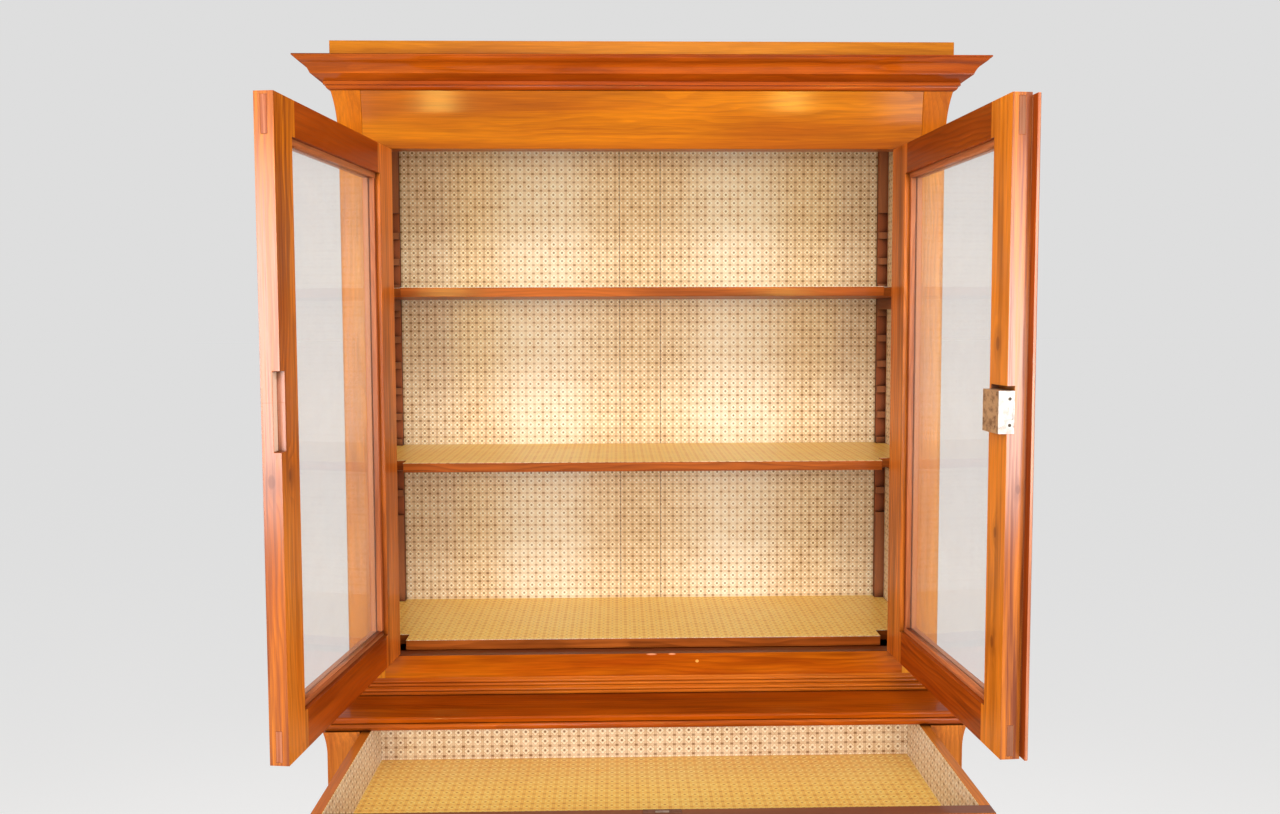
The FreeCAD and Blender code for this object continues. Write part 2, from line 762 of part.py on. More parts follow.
def glass_door(side):
    leaf = glass_leaf(side)
    name = "left_glass_door_" if side == LEFT else "right_glass_door_"
    lock = lock_boxes(leaf, sill + size["lock_centre_height"])
    pockets = [leaf.box(*lock["notch" if side == LEFT else "recess"])]
    hinge_stile, meeting_stile, rails, pane_low, pane_high = frame_pieces(
        leaf, size["hinge_stile_width"], size["meeting_stile_width"],
        size["top_rail_height"], size["bottom_rail_height"], pockets, GLASS_DOOR_HINGE_SHARES)
    leaf.node(name + "hinge_stile", hinge_stile)
    leaf.node(name + "meeting_stile", meeting_stile)
    leaf.node(name + "rails", group(rails))

    fit = size["loose_fit"]
    y_pane = pane_low[1]
    y_bead = y_pane + size["pane_thickness"]
    y_bead_rear = y_bead + size["bead_thickness"]
    start, end = pane_low[0], pane_high[0]
    foot, top = pane_low[2], pane_high[2]
    pane = leaf.box((start + fit, y_pane, foot + fit), (end - fit, y_bead, top - fit))
    leaf.node(name + "pane", group([pane]))
    bead = size["rebate_width"]
    leaf.node(name + "beads", group([
        leaf.box((start, y_bead, foot), (end, y_bead_rear, foot + bead)),
        leaf.box((start, y_bead, top - bead), (end, y_bead_rear, top)),
        leaf.box((start, y_bead, foot + bead), (start + bead, y_bead_rear, top - bead)),
        leaf.box((end - bead, y_bead, foot + bead), (end, y_bead_rear, top - bead))]))
    fixed, moving = hinge_halves(leaf, GLASS_DOOR_HINGE_SHARES)
    leaf.node(name + "hinge_halves", group(moving))
    if side == RIGHT:
        leaf.node("astragal", astragal(leaf))
        way = leaf.box(*lock["way"])
        leaf.node("glass_door_lock_case", cut(leaf.box(*lock["case"]), [way]))
        leaf.node("glass_door_lock_plate", cut(leaf.box(*lock["plate"]), [way]))
        leaf.node("glass_door_lock_bolt", group([leaf.box(*lock["bolt"])]))
    return fixed


def fielded_panel(leaf, low, high):
    """A panel held in the rebate, with a bevelled field raised towards the front."""
    margin = size["rebate_width"] + size["panel_field_margin"]
    bevel = size["panel_field_bevel"]
    span = (low[0], high[0]) if leaf.side == LEFT else (-high[0], -low[0])
    field = doc.addObject("Part::Wedge", "Field")
    bind(field, "Ymin", low[1] - size["panel_field_rise"])
    bind(field, "Ymax", low[1])
    for name, start, end in (("X", span[0], span[1]), ("Z", low[2], high[2])):
        bind(field, name + "2min", start + margin)
        bind(field, name + "2max", end - margin)
        bind(field, name + "min", start + margin + bevel)
        bind(field, name + "max", end - margin - bevel)
    return fuse([leaf.box(low, high), field])


def base_door(side):
    leaf = base_leaf(side)
    name = "left_base_door_" if side == LEFT else "right_base_door_"
    lock = lock_boxes(leaf, base_floor_top + size["base_lock_height"])
    pockets = [leaf.box(*lock["pocket" if side == LEFT else "recess"])]
    stile = size["base_stile_width"]
    hinge_stile, meeting_stile, rails, pane_low, pane_high = frame_pieces(
        leaf, stile, stile, size["base_top_rail_height"], size["base_bottom_rail_height"], pockets,
        BASE_DOOR_HINGE_SHARES)
    leaf.node(name + "frame", group([hinge_stile, meeting_stile] + rails))
    leaf.node(name + "panel", fielded_panel(leaf, pane_low, (pane_high[0], leaf.rear, pane_high[2])))
    fixed, moving = hinge_halves(leaf, BASE_DOOR_HINGE_SHARES)
    leaf.node(name + "hinge_halves", group(moving))
    if side == RIGHT:
        way = leaf.box(*lock["way"])
        case = fuse([leaf.box(*lock["case"]), leaf.box(*lock["plate"])])
        leaf.node("base_door_lock_case", cut(case, [way]))
        leaf.node("base_door_lock_bolt", group([leaf.box(*lock["bolt"])]))
    return fixed


def rounded_lip(half, y_front, foot):
    """The ledge's own layer, with its upper edge rounded at the front and at both sides."""
    radius = size["lip_round"]
    round_foot = ledge - radius
    front = prism("YZ_Plane", -half, half, [
        (y_front, foot), (y_back, foot), (y_back, ledge), (y_front + radius, ledge, radius, SWELLING),
        (y_front, round_foot)])
    sides = prism("XZ_Plane", y_front, y_back, [
        (-half, foot), (half, foot), (half, round_foot, radius, SWELLING), (half - radius, ledge),
        (radius - half, ledge, radius, SWELLING), (-half, round_foot)])
    return common(front, sides)


def base_case():
    flare = size["belt_flare"]
    cove = size["belt_cove"]
    node("base_side_boards", with_mirror(
        coved_side((low_inner_half, y_low_in, 0), (half_low, y_back, belt_top), cove, flare)))
    post = coved_corner((low_opening_half, y_low, as_size(0)), (half_low, y_low_in, belt_top), cove, flare)
    node("base_posts", with_mirror(cut(post, post_seats(base_leaf(RIGHT), BASE_DOOR_HINGE_SHARES))))

    lip_half = half_low + flare
    y_lip = y_low - flare
    lip_foot = ledge - size["lip_thickness"]
    core_half = lip_half - size["torus_projection"]
    y_core = y_lip + size["torus_projection"]
    top = fuse([box((-core_half, y_core, belt_top), (core_half, y_back, lip_foot)),
                rounded_lip(lip_half, y_lip, lip_foot)])
    bolt = drawer_lock_boxes()["pocket"]
    node("base_top_board", cut(top, [box(*bolt)]))
    node("base_top_moulding", group(mitred(
        TORUS_SHARES, core_half, y_core, y_back, belt_top, size["torus_projection"], size["torus_height"])))

    floor_foot = size["plinth_height"]
    node("base_bottom_board", fuse([
        box((-low_inner_half, y_low_in, floor_foot), (low_inner_half, y_liner, base_floor_top)),
        box((-low_opening_half, y_low, floor_foot), (low_opening_half, y_low_in, base_floor_top))]))
    node("base_back_boards", group(both_sides((0, y_liner, 0), (low_inner_half, y_back, belt_top))))
    y_rail = y_low + size["drawer_rail_depth"]
    rail_half = box((-low_opening_half, y_low, door_head), (low_opening_half, y_low_in, belt_foot))
    rail_rear = box((-low_inner_half, y_low_in, door_head), (low_inner_half, y_rail, belt_foot))
    node("drawer_rail", fuse([rail_half, rail_rear]))
    runner_in = low_inner_half - size["runner_width"]
    runner = fuse([box((runner_in, y_rail, door_head), (low_inner_half, y_liner, belt_foot)),
                   box((low_opening_half, y_low_in, belt_foot),
                       (low_inner_half, y_liner, belt_foot + size["guide_height"]))])
    node("drawer_runners", with_mirror(runner))
    shelf_foot = size["base_shelf_height"]
    node("base_shelf", box((-low_inner_half, y_low + size["base_shelf_setback"], shelf_foot),
                           (low_inner_half, y_liner, shelf_foot + size["board_thickness"])))
    half_bearer = size["plinth_bearer_width"] / 2
    node("plinth_boards", group(
        mitred(PLINTH_SHARES, half_low, y_low, y_back, as_size(0), size["plinth_projection"], floor_foot)
        + [box((-half_bearer, y_low, 0), (half_bearer, y_liner, floor_foot))]))


def drawer_lock_boxes():
    """Places of the drawer's lock, drawer shut: case, bolt, its way up, and its pocket in the top."""
    gap = size["bolt_gap"]
    middle = size["drawer_lock_offset"]
    half_case = size["drawer_lock_width"] / 2
    half_bolt = size["bolt_height"] / 2
    top = belt_top - size["drawer_gap"]
    y_case_rear = y_drawer_in
    y_case = y_case_rear - size["drawer_lock_thickness"]
    y_bolt = y_case + size["lock_wall"] + gap
    y_bolt_rear = y_bolt + size["bolt_thickness"]
    bolt_foot = top - gap - size["bolt_length"]
    return {
        "case": ((middle - half_case, y_case, top - size["drawer_lock_height"]),
                 (middle + half_case, y_case_rear, top)),
        "bolt": ((middle - half_bolt, y_bolt, bolt_foot), (middle + half_bolt, y_bolt_rear, top - gap)),
        "way": ((middle - half_bolt - gap, y_bolt - gap, bolt_foot - gap),
                (middle + half_bolt + gap, y_bolt_rear + gap, top)),
        "pocket": ((middle - half_bolt - gap, y_bolt - gap, belt_top),
                   (middle + half_bolt + gap, y_bolt_rear + gap, belt_top + size["bolt_throw"])),
    }


def drawer():
    gap = size["drawer_gap"]
    half_out = low_opening_half - gap
    half_in = half_out - size["drawer_side_thickness"]
    foot = belt_foot + size["loose_fit"]
    top = belt_top - gap
    y_front_in = y_drawer_in
    y_back_in = y_drawer_back
    y_end = y_back_in + size["drawer_back_thickness"]
    bottom_foot = foot + size["drawer_bottom_rise"]
    bottom_top = bottom_foot + size["drawer_bottom_thickness"]
    lock = drawer_lock_boxes()

    def pulled(label, item):
        node(label, place(item, 0, -drawer_pull, 0))

    front_foot = foot + gap
    profile = coved(top - front_foot, size["belt_cove"], size["belt_flare"], size["drawer_front_thickness"])
    front = prism("YZ_Plane", -half_out, half_out, facing_front(profile, y_low, front_foot))
    pulled("drawer_front", cut(front, [box(*lock["case"])]))
    pulled("drawer_sides", group(both_sides((half_in, y_front_in, foot), (half_out, y_end, top))))
    pulled("drawer_back", group([box((-half_in, y_back_in, bottom_top), (half_in, y_end, top))]))
    pulled("drawer_bottom", group([box((-half_in, y_front_in, bottom_foot), (half_in, y_end, bottom_top))]))
    floor = bottom_top + paper
    sheets = both_sides((half_in - paper, y_front_in + paper, floor), (half_in, y_back_in - paper, top))
    sheets.append(box((-half_in, y_front_in, bottom_top), (half_in, y_back_in, floor)))
    sheets.append(box((-half_in, y_back_in - paper, floor), (half_in, y_back_in, top)))
    pulled("drawer_lining_paper", group(sheets))
    pulled("drawer_lock_case", cut(box(*lock["case"]), [box(*lock["way"])]))
    pulled("drawer_lock_bolt", group([box(*lock["bolt"])]))


def build():
    upper_case()
    shelves_and_racks()
    base_case()
    drawer()
    fixed_hinges = []
    for side in (LEFT, RIGHT):
        fixed_hinges += glass_door(side) + base_door(side)
    node("hinge_frame_halves", group(fixed_hinges))


def check_objects():
    doc.recompute()
    for item in doc.Objects:
        if "Invalid" in item.State or "Error" in item.State:
            raise RuntimeError("%s (%s) failed: %s" % (item.Label, item.Name, item.State))
    for label, item in nodes.items():
        if item.Shape.isNull() or not item.Shape.isValid() or not item.Shape.Solids:
            raise RuntimeError("%s has no valid solid" % label)


def export():
    os.makedirs("parts", exist_ok=True)
    for label, item in nodes.items():
        item.Shape.exportStep("parts/%s.step" % label)
    print("%d sub-parts written" % len(nodes))


build()
check_objects()
export()
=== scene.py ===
import json
import math
import random

import bmesh
import bpy
from mathutils import Euler, Matrix, Vector


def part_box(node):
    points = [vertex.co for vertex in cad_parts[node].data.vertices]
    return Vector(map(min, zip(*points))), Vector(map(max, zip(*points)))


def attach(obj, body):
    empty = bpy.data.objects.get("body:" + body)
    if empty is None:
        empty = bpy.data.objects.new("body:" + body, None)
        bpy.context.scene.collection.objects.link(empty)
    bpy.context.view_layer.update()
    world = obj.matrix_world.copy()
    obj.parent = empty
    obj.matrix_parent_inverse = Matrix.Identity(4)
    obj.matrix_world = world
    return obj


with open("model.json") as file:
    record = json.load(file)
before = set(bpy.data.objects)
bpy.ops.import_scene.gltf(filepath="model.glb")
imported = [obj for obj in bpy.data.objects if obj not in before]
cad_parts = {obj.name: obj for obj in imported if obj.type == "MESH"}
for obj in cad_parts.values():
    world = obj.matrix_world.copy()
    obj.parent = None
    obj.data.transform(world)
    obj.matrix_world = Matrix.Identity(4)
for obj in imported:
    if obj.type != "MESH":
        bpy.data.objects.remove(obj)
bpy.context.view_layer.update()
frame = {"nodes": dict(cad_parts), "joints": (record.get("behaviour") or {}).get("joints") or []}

# A hutch cabinet in glossy orange-brown wood: glazed doors open, drawer pulled out.
# Metres, +Z up, front towards -Y.

nodes = frame["nodes"]
joints = {joint["name"]: joint for joint in frame["joints"]}
AXES = "xyz"
RIGHTWARD = Vector((1, 0, 0))
UPWARD = Vector((0, 0, 1))
FORWARD = Vector((0, -1, 0))
WHITE = (1, 1, 1, 1)


def srgb(red, green, blue):
    """A colour given as screen values from 0 to 255, as the linear values that shaders take."""
    def linear(value):
        share = value / 255
        return share / 12.92 if share <= 0.04045 else ((share + 0.055) / 1.055) ** 2.4
    return (linear(red), linear(green), linear(blue), 1)


# Camera
LENS = 28.866
SENSOR = 36
SHIFT_Y = -0.01893
CLIP_START = 0.05
CAMERA_PLACE = Vector((-0.05381, -2.18149, 1.65777))
YAW, PITCH, ROLL = (math.radians(turn) for turn in (1.26, -3.52, -0.16))


def make_camera():
    data = bpy.data.cameras.new("camera")
    data.sensor_fit = "HORIZONTAL"
    data.sensor_width = SENSOR
    data.lens = LENS
    data.shift_y = SHIFT_Y
    data.clip_start = CLIP_START
    forward = Vector((math.sin(YAW) * math.cos(PITCH), math.cos(YAW) * math.cos(PITCH), math.sin(PITCH)))
    level = Vector((math.cos(YAW), -math.sin(YAW), 0))
    upright = level.cross(forward)
    right = level * math.cos(ROLL) + upright * math.sin(ROLL)
    up = upright * math.cos(ROLL) - level * math.sin(ROLL)
    turned = Matrix((right, up, -forward)).transposed().to_4x4()
    camera = bpy.data.objects.new("camera", data)
    camera.matrix_world = Matrix.Translation(CAMERA_PLACE) @ turned
    bpy.context.scene.collection.objects.link(camera)
    bpy.context.scene.camera = camera


# How far a face's normal lies along a direction, from not counted to fully counted
TURNED = (0.7, 0.9)
# The stretch that most values of a noise fall in
MIDRANGE = (0.3, 0.7)


class Graph:
    """Short calls that build the nodes of one material or group."""

    def __init__(self, tree):
        self.tree = tree

    def add(self, kind, inputs=None, **settings):
        item = self.tree.nodes.new("ShaderNode" + kind)
        for name, value in settings.items():
            setattr(item, name, value)
        for key, value in (inputs or {}).items():
            if isinstance(value, bpy.types.NodeSocket):
                self.tree.links.new(value, item.inputs[key])
            else:
                item.inputs[key].default_value = value
        return item

    def math(self, operation, *values):
        return self.add("Math", dict(enumerate(values)), operation=operation).outputs[0]

    def times(self, first, second):
        return self.math("MULTIPLY", first, second)

    def apart(self, value, centre):
        return self.math("ABSOLUTE", self.math("SUBTRACT", value, centre))

    def vector(self, operation, *values):
        item = self.add("VectorMath", dict(enumerate(values)), operation=operation)
        return item.outputs["Value" if operation in ("LENGTH", "DISTANCE", "DOT_PRODUCT") else "Vector"]

    def mix(self, factor, first, second, blend="MIX"):
        item = self.add("Mix", {0: factor, 6: first, 7: second}, data_type="RGBA", blend_type=blend)
        return item.outputs[2]

    def shaded(self, colour, shade):
        """A colour made lighter or darker by a factor."""
        factors = self.add("CombineColor", {0: shade, 1: shade, 2: shade}).outputs[0]
        return self.mix(1.0, colour, factors, "MULTIPLY")

    def noise(self, vector, stretch, detail=2.0, roughness=0.5):
        """Noise between 0 and 1, with its frequency given for each direction."""
        place = self.vector("MULTIPLY", vector, stretch)
        item = self.add("TexNoise", {
            "Vector": place, "Scale": 1.0, "Detail": detail, "Roughness": roughness})
        return item.outputs["Fac"]

    def span(self, value, low, high, to_low=0.0, to_high=1.0, smooth=True):
        """A value's stretch from low to high, brought to another range and held at its ends."""
        item = self.add("MapRange", {0: value, 1: low, 2: high, 3: to_low, 4: to_high},
                        interpolation_type="SMOOTHSTEP" if smooth else "LINEAR")
        return item.outputs[0]

    def facing(self, normal, direction, to_low=0.0, to_high=1.0):
        """A value that rises where faces are turned towards a direction."""
        along = self.vector("DOT_PRODUCT", normal, tuple(direction))
        return self.span(along, *TURNED, to_low, to_high)

    def split(self, vector):
        return self.add("SeparateXYZ", {0: vector}).outputs[0:3]

    def object_place(self):
        return self.add("TexCoord").outputs["Object"]

    def surface(self, shader):
        self.add("OutputMaterial", {"Surface": shader})


def new_material(name):
    material = bpy.data.materials.new(name)
    material.use_nodes = True
    material.node_tree.nodes.clear()
    return material, Graph(material.node_tree)


def new_group(name, inputs, outputs):
    """A node group; inputs and outputs are (name, kind) pairs."""
    tree = bpy.data.node_groups.new(name, "ShaderNodeTree")
    for in_out, sockets in (("INPUT", inputs), ("OUTPUT", outputs)):
        for label, kind in sockets:
            tree.interface.new_socket(label, in_out=in_out, socket_type="NodeSocket" + kind)
    entry = tree.nodes.new("NodeGroupInput").outputs
    leave = tree.nodes.new("NodeGroupOutput").inputs
    return tree, Graph(tree), entry, leave


# Grain: rings are counted over a metre across it, and the bends are in rings
GRAIN_TURNS = {"x": (0, 0, 0), "y": (0, 0, -90), "z": (0, 90, 0)}
RINGS_Y = 105.0
RINGS_Z = 80.0
SWAY_BEND = 11.0
KNOT_BEND = 2.6
RIPPLE_BEND = 0.9
LATE_WOOD_SHARE = 0.6
LATE_WOOD_SUNK = -0.5


def make_grain():
    """Grain that runs along X: growth rings, dark streaks, fibres and broad changes of tone."""
    tree, graph, entry, leave = new_group(
        "wood_grain",
        [("Vector", "Vector"), ("Light", "Color"), ("Middle", "Color"), ("Dark", "Color"),
         ("Contrast", "Float"), ("Knots", "Float")],
        [("Color", "Color"), ("Fibre", "Float"), ("Height", "Float")])
    place = entry["Vector"]
    contrast = entry["Contrast"]
    sway = graph.math("SUBTRACT", graph.noise(place, (1.6, 8, 8), 3.0), 0.5)
    ripple = graph.math("SUBTRACT", graph.noise(place, (9, 60, 60), 2.0), 0.5)
    _, y, z = graph.split(place)
    across = graph.math("ADD", graph.times(y, RINGS_Y), graph.times(z, RINGS_Z))
    bent = graph.math("MULTIPLY_ADD", sway, SWAY_BEND, across)
    swirled = graph.math("MULTIPLY_ADD", entry["Knots"], KNOT_BEND, bent)
    rings = graph.math("FRACT", graph.math("MULTIPLY_ADD", ripple, RIPPLE_BEND, swirled))
    late = graph.times(graph.span(rings, 0.25, 0.86), graph.span(rings, 1.0, 0.93))
    figure = graph.span(graph.noise(place, (1.1, 7, 7), 2.0), *MIDRANGE, 0.25, 1.0)
    late = graph.times(late, figure)
    tone = graph.span(graph.noise(place, (1.5, 13, 13), 3.0), 0.34, 0.64)
    streak = graph.span(graph.noise(place, (1.7, 42, 42), 4.0, 0.6), 0.44, 0.74)
    fibre = graph.noise(place, (14, 620, 620), 2.0, 0.6)
    patina = graph.span(graph.noise(place, (2.6, 11, 11), 4.0, 0.6), 0.46, 0.72, 0.0, 0.55)
    late_dark = graph.times(late, graph.times(contrast, LATE_WOOD_SHARE))
    colour = graph.mix(tone, entry["Light"], entry["Middle"])
    for darkening in (graph.times(patina, contrast), late_dark, graph.times(streak, contrast)):
        colour = graph.mix(darkening, colour, entry["Dark"])
    colour = graph.shaded(colour, graph.span(fibre, *MIDRANGE, 0.82, 1.1, smooth=False))
    height = graph.math("MULTIPLY_ADD", late, LATE_WOOD_SUNK, fibre)
    for label, value in (("Color", colour), ("Fibre", fibre), ("Height", height)):
        graph.tree.links.new(value, leave[label])
    return tree


class Finish:
    """How one kind of wood looks: its tones as screen values, its grain, varnish, and the dirt and painted
    shade in its crevices.
    """

    def __init__(self, light, middle, dark, contrast, coat, coat_rough, rough=0.4, grime_and_shade=0.85, spread=0.0):
        self.light = srgb(*light)
        self.middle = srgb(*middle)
        self.dark = srgb(*dark)
        self.contrast = contrast
        self.coat = coat
        self.coat_rough = coat_rough
        self.rough = rough
        self.grime_and_shade = grime_and_shade
        self.spread = spread


FINISHES = {
    "golden": Finish((206, 120, 1), (178, 92, 0), (118, 50, 0),
                     contrast=0.42, coat=0.28, coat_rough=0.12),
    "block": Finish((212, 120, 1), (186, 96, 0), (122, 52, 0),
                    contrast=0.45, coat=0.06, coat_rough=0.2),
    "cap": Finish((200, 123, 24), (178, 101, 14), (130, 60, 8),
                  contrast=0.5, coat=0.25, coat_rough=0.2, grime_and_shade=0.8),
    "case": Finish((218, 118, 12), (178, 76, 6), (104, 34, 2),
                   contrast=0.55, coat=0.34, coat_rough=0.12),
    "cornice": Finish((200, 96, 14), (168, 70, 6), (100, 32, 2),
                      contrast=0.55, coat=0.34, coat_rough=0.12),
    "moulding": Finish((204, 108, 24), (178, 82, 14), (114, 42, 4),
                       contrast=0.5, coat=0.34, coat_rough=0.12, grime_and_shade=0.45),
    "front_post": Finish((246, 164, 46), (228, 138, 30), (166, 86, 12),
                         contrast=0.5, coat=0.3, coat_rough=0.14, grime_and_shade=0.7),
    "post": Finish((224, 132, 44), (202, 108, 30), (152, 72, 16),
                   contrast=0.5, coat=0.3, coat_rough=0.14),
    "shelf": Finish((190, 101, 39), (163, 80, 27), (84, 34, 8),
                    contrast=0.85, coat=0.25, coat_rough=0.16),
    "stile": Finish((242, 140, 32), (208, 106, 18), (120, 46, 4),
                    contrast=0.8, coat=0.36, coat_rough=0.22),
    "hinge_stile": Finish((238, 134, 46), (204, 104, 30), (104, 42, 8),
                          contrast=0.62, coat=0.3, coat_rough=0.16),
    "rail": Finish((193, 88, 18), (156, 61, 8), (88, 28, 4),
                   contrast=0.6, coat=0.32, coat_rough=0.16),
    "bead": Finish((230, 144, 92), (208, 118, 70), (130, 62, 30),
                   contrast=0.5, coat=0.3, coat_rough=0.16, grime_and_shade=0.4),
    "ledge": Finish((184, 84, 4), (154, 62, 1), (92, 28, 0),
                    contrast=0.55, coat=0.25, coat_rough=0.1),
    "raw": Finish((206, 164, 114), (182, 138, 92), (122, 84, 52),
                  contrast=0.55, coat=0.0, coat_rough=0.3, rough=0.62, grime_and_shade=0.6, spread=0.18),
    "dark": Finish((172, 102, 62), (140, 78, 44), (72, 36, 18),
                   contrast=0.55, coat=0.2, coat_rough=0.3, rough=0.5, grime_and_shade=1.0),
}

grain = make_grain()

# Knots: the heart and the halo begin and are full at these shares of the radius
KNOT_SQUASH = 0.5
KNOT_HEART = (1.2, 0.2)
KNOT_HALO = (3.4, 0.6)
HALO_STRENGTH = 0.5
KNOT_TONE = srgb(104, 42, 16)
KNOT_SPAN = (0.2, 0.9)
KNOT_DARKNESS = 0.65


def knot_mask(graph, place, knots):
    """A mask that is 1 inside knots drawn out along upright grain: each knot is (where, radius)."""
    mask = None
    for where, radius in knots:
        apart = graph.vector("MULTIPLY", graph.vector("SUBTRACT", place, tuple(where)), (1, 1, KNOT_SQUASH))
        reach = graph.vector("LENGTH", apart)
        heart = graph.span(reach, *(radius * share for share in KNOT_HEART))
        halo = graph.span(reach, *(radius * share for share in KNOT_HALO), 0.0, HALO_STRENGTH)
        here = graph.math("MAXIMUM", heart, halo)
        mask = here if mask is None else graph.math("MAXIMUM", mask, here)
    return 0.0 if mask is None else mask


class Touch:
    """A change of tone on faces that look one way, or in zones: (direction, low, high, softness).

    Streaks are the frequencies of a noise that breaks the tone up; a sparse touch shows only in
    some streaks. BROKEN and SPARSE are the noise's low and high ends and the least share left."""

    BROKEN = (0.36, 0.6, 0.35)
    SPARSE = (0.5, 0.66, 0.0)

    def __init__(self, tone, strength, facing=None, zones=(), over_dirt_and_shade=False, streaks=None, sparse=False):
        self.tone = tone
        self.strength = strength
        self.facing = facing
        self.zones = zones
        self.over_dirt_and_shade = over_dirt_and_shade
        self.streaks = streaks
        self.sparse = sparse

    def mask(self, graph, place, normal):
        result = self.strength
        if self.streaks is not None:
            low, high, least = self.SPARSE if self.sparse else self.BROKEN
            streak = graph.noise(place, self.streaks, 4.0, 0.6)
            result = graph.span(streak, low, high, least * result, result)
        if self.facing is not None:
            result = graph.times(graph.facing(normal, self.facing), result)
        for direction, low, high, soft in self.zones:
            reach = graph.vector("DOT_PRODUCT", place, tuple(direction))
            result = graph.times(graph.span(reach, low - soft, low + soft), result)
            result = graph.times(graph.span(reach, high + soft, high - soft), result)
        return result


class Spot:
    """A small mark with soft edges, such as a chip."""

    over_dirt_and_shade = True

    def __init__(self, tone, strength, centre, radii):
        self.tone = tone
        self.strength = strength
        self.centre = centre
        self.radii = radii

    def mask(self, graph, place, normal):
        apart = graph.vector("DIVIDE", graph.vector("SUBTRACT", place, self.centre), self.radii)
        return graph.span(graph.vector("LENGTH", apart), 1.0, 0.5, 0.0, self.strength)


GRAIN_SHIFT = 9
END_SPAN = (0.8, 0.95)
END_DARKNESS = 0.45
DIRT_AND_SHADE_TONE = srgb(46, 17, 6)
CREVICE_REACH = 0.024
CREVICE_SAMPLES = 6
CREVICE_SPAN = (0.85, 0.2)
FIBRE_SPAN = (0.25, 0.75)
FIBRE_SMOOTHER = 0.06
FIBRE_ROUGHER = 0.1
FIBRE_RELIEF = {"Strength": 0.12, "Distance": 0.0006}
WOOD_SPECULAR = 0.05
VARNISH_IOR = 1.5


def wood(name, finish_name, axis, turn=0.0, knots=(), touches=(), glossy=None, seed=0):
    """Varnished wood with its grain along an axis of a frame that is turned about Z."""
    finish = FINISHES[finish_name]
    material, graph = new_material(name)
    place = graph.object_place()
    normal = graph.add("TexCoord").outputs["Normal"]
    unturned = graph.add("VectorRotate", {"Vector": place, "Angle": -turn}, rotation_type="Z_AXIS")
    rotation = Euler([math.radians(angle) for angle in GRAIN_TURNS[axis]])
    chance = random.Random(seed)
    shift = [chance.uniform(-GRAIN_SHIFT, GRAIN_SHIFT) for _ in AXES]
    shade = 1 + finish.spread * chance.uniform(-1, 1)
    along = graph.add("Mapping", {"Vector": unturned.outputs[0], "Rotation": rotation, "Location": shift})
    pattern = graph.add("Group", node_tree=grain)
    for label, tone in (("Light", finish.light), ("Middle", finish.middle), ("Dark", finish.dark)):
        pattern.inputs[label].default_value = [shade * channel for channel in tone[:3]] + [1]
    pattern.inputs["Contrast"].default_value = finish.contrast
    graph.tree.links.new(along.outputs[0], pattern.inputs["Vector"])
    dark_knots = knot_mask(graph, place, knots)
    if knots:
        graph.tree.links.new(dark_knots, pattern.inputs["Knots"])
    grain_way = Matrix.Rotation(turn, 3, "Z") @ Vector([float(letter == axis) for letter in AXES])
    end = graph.math("ABSOLUTE", graph.vector("DOT_PRODUCT", normal, tuple(grain_way)))
    end_dark = graph.span(end, *END_SPAN, 0.0, END_DARKNESS)
    colour = graph.mix(end_dark, pattern.outputs["Color"], finish.dark)

    def touched(colour, over_dirt_and_shade):
        for touch in touches:
            if touch.over_dirt_and_shade == over_dirt_and_shade:
                colour = graph.mix(touch.mask(graph, place, normal), colour, touch.tone)
        return colour
    colour = touched(colour, over_dirt_and_shade=False)
    if knots:
        colour = graph.mix(graph.span(dark_knots, *KNOT_SPAN, 0.0, KNOT_DARKNESS), colour, KNOT_TONE)
    # Crevices darkened by ambient occlusion: dirt in the hollows together with painted shade
    crevices = graph.add("AmbientOcclusion", {"Distance": CREVICE_REACH}, samples=CREVICE_SAMPLES)
    dirt_and_shade = graph.times(graph.span(crevices.outputs["AO"], *CREVICE_SPAN), finish.grime_and_shade)
    colour = graph.mix(dirt_and_shade, colour, DIRT_AND_SHADE_TONE)
    colour = touched(colour, over_dirt_and_shade=True)
    coat = finish.coat
    if glossy is not None:
        coat = graph.facing(normal, glossy, finish.coat, 1.0)
    rough = graph.span(pattern.outputs["Fibre"], *FIBRE_SPAN, finish.rough - FIBRE_SMOOTHER,
                       finish.rough + FIBRE_ROUGHER)
    bump = graph.add("Bump", {"Height": pattern.outputs["Height"], **FIBRE_RELIEF})
    shader = graph.add("BsdfPrincipled", {
        "Base Color": colour, "Roughness": rough, "Normal": bump.outputs[0], "IOR": VARNISH_IOR,
        "Specular IOR Level": WOOD_SPECULAR, "Coat Weight": coat, "Coat Roughness": finish.coat_rough,
        "Coat IOR": VARNISH_IOR})
    graph.surface(shader.outputs[0])
    return material


PLACE_DIGITS = 5


def solids_of(mesh):
    """Which solid each face belongs to, by the edges that faces share; the faces come solid by solid."""
    def corner(index):
        return tuple(round(value, PLACE_DIGITS) for value in mesh.vertices[index].co)
    parent = list(range(len(mesh.polygons)))

    def root(face):
        while parent[face] != face:
            parent[face] = parent[parent[face]]
            face = parent[face]
        return face
    sharing = {}
    for face in mesh.polygons:
        for first, second in face.edge_keys:
            sharing.setdefault(frozenset((corner(first), corner(second))), []).append(face.index)
    for faces in sharing.values():
        for first, second in zip(faces[0::2], faces[1::2]):
            parent[root(second)] = root(first)
    return [root(face.index) for face in mesh.polygons]


WELD_REACH = 0.00002
EDGE_STEPS = 2
EDGE_ANGLE = math.radians(35)
FLAT_WEIGHT = 80
SOFT_EDGE = 0.0009
FINE_EDGE = 0.0005


def soften(item, width):
    """Take the sharpness off a piece's edges, so that they catch the light."""
    weld = item.modifiers.new("weld", "WELD")
    weld.merge_threshold = WELD_REACH
    bevel = item.modifiers.new("soft_edges", "BEVEL")
    bevel.width = width
    bevel.segments = EDGE_STEPS
    bevel.limit_method = "ANGLE"
    bevel.angle_limit = EDGE_ANGLE
    bevel.use_clamp_overlap = True
    bevel.harden_normals = False
    shade = item.modifiers.new("even_shading", "WEIGHTED_NORMAL")
    shade.keep_sharp = False
    shade.weight = FLAT_WEIGHT


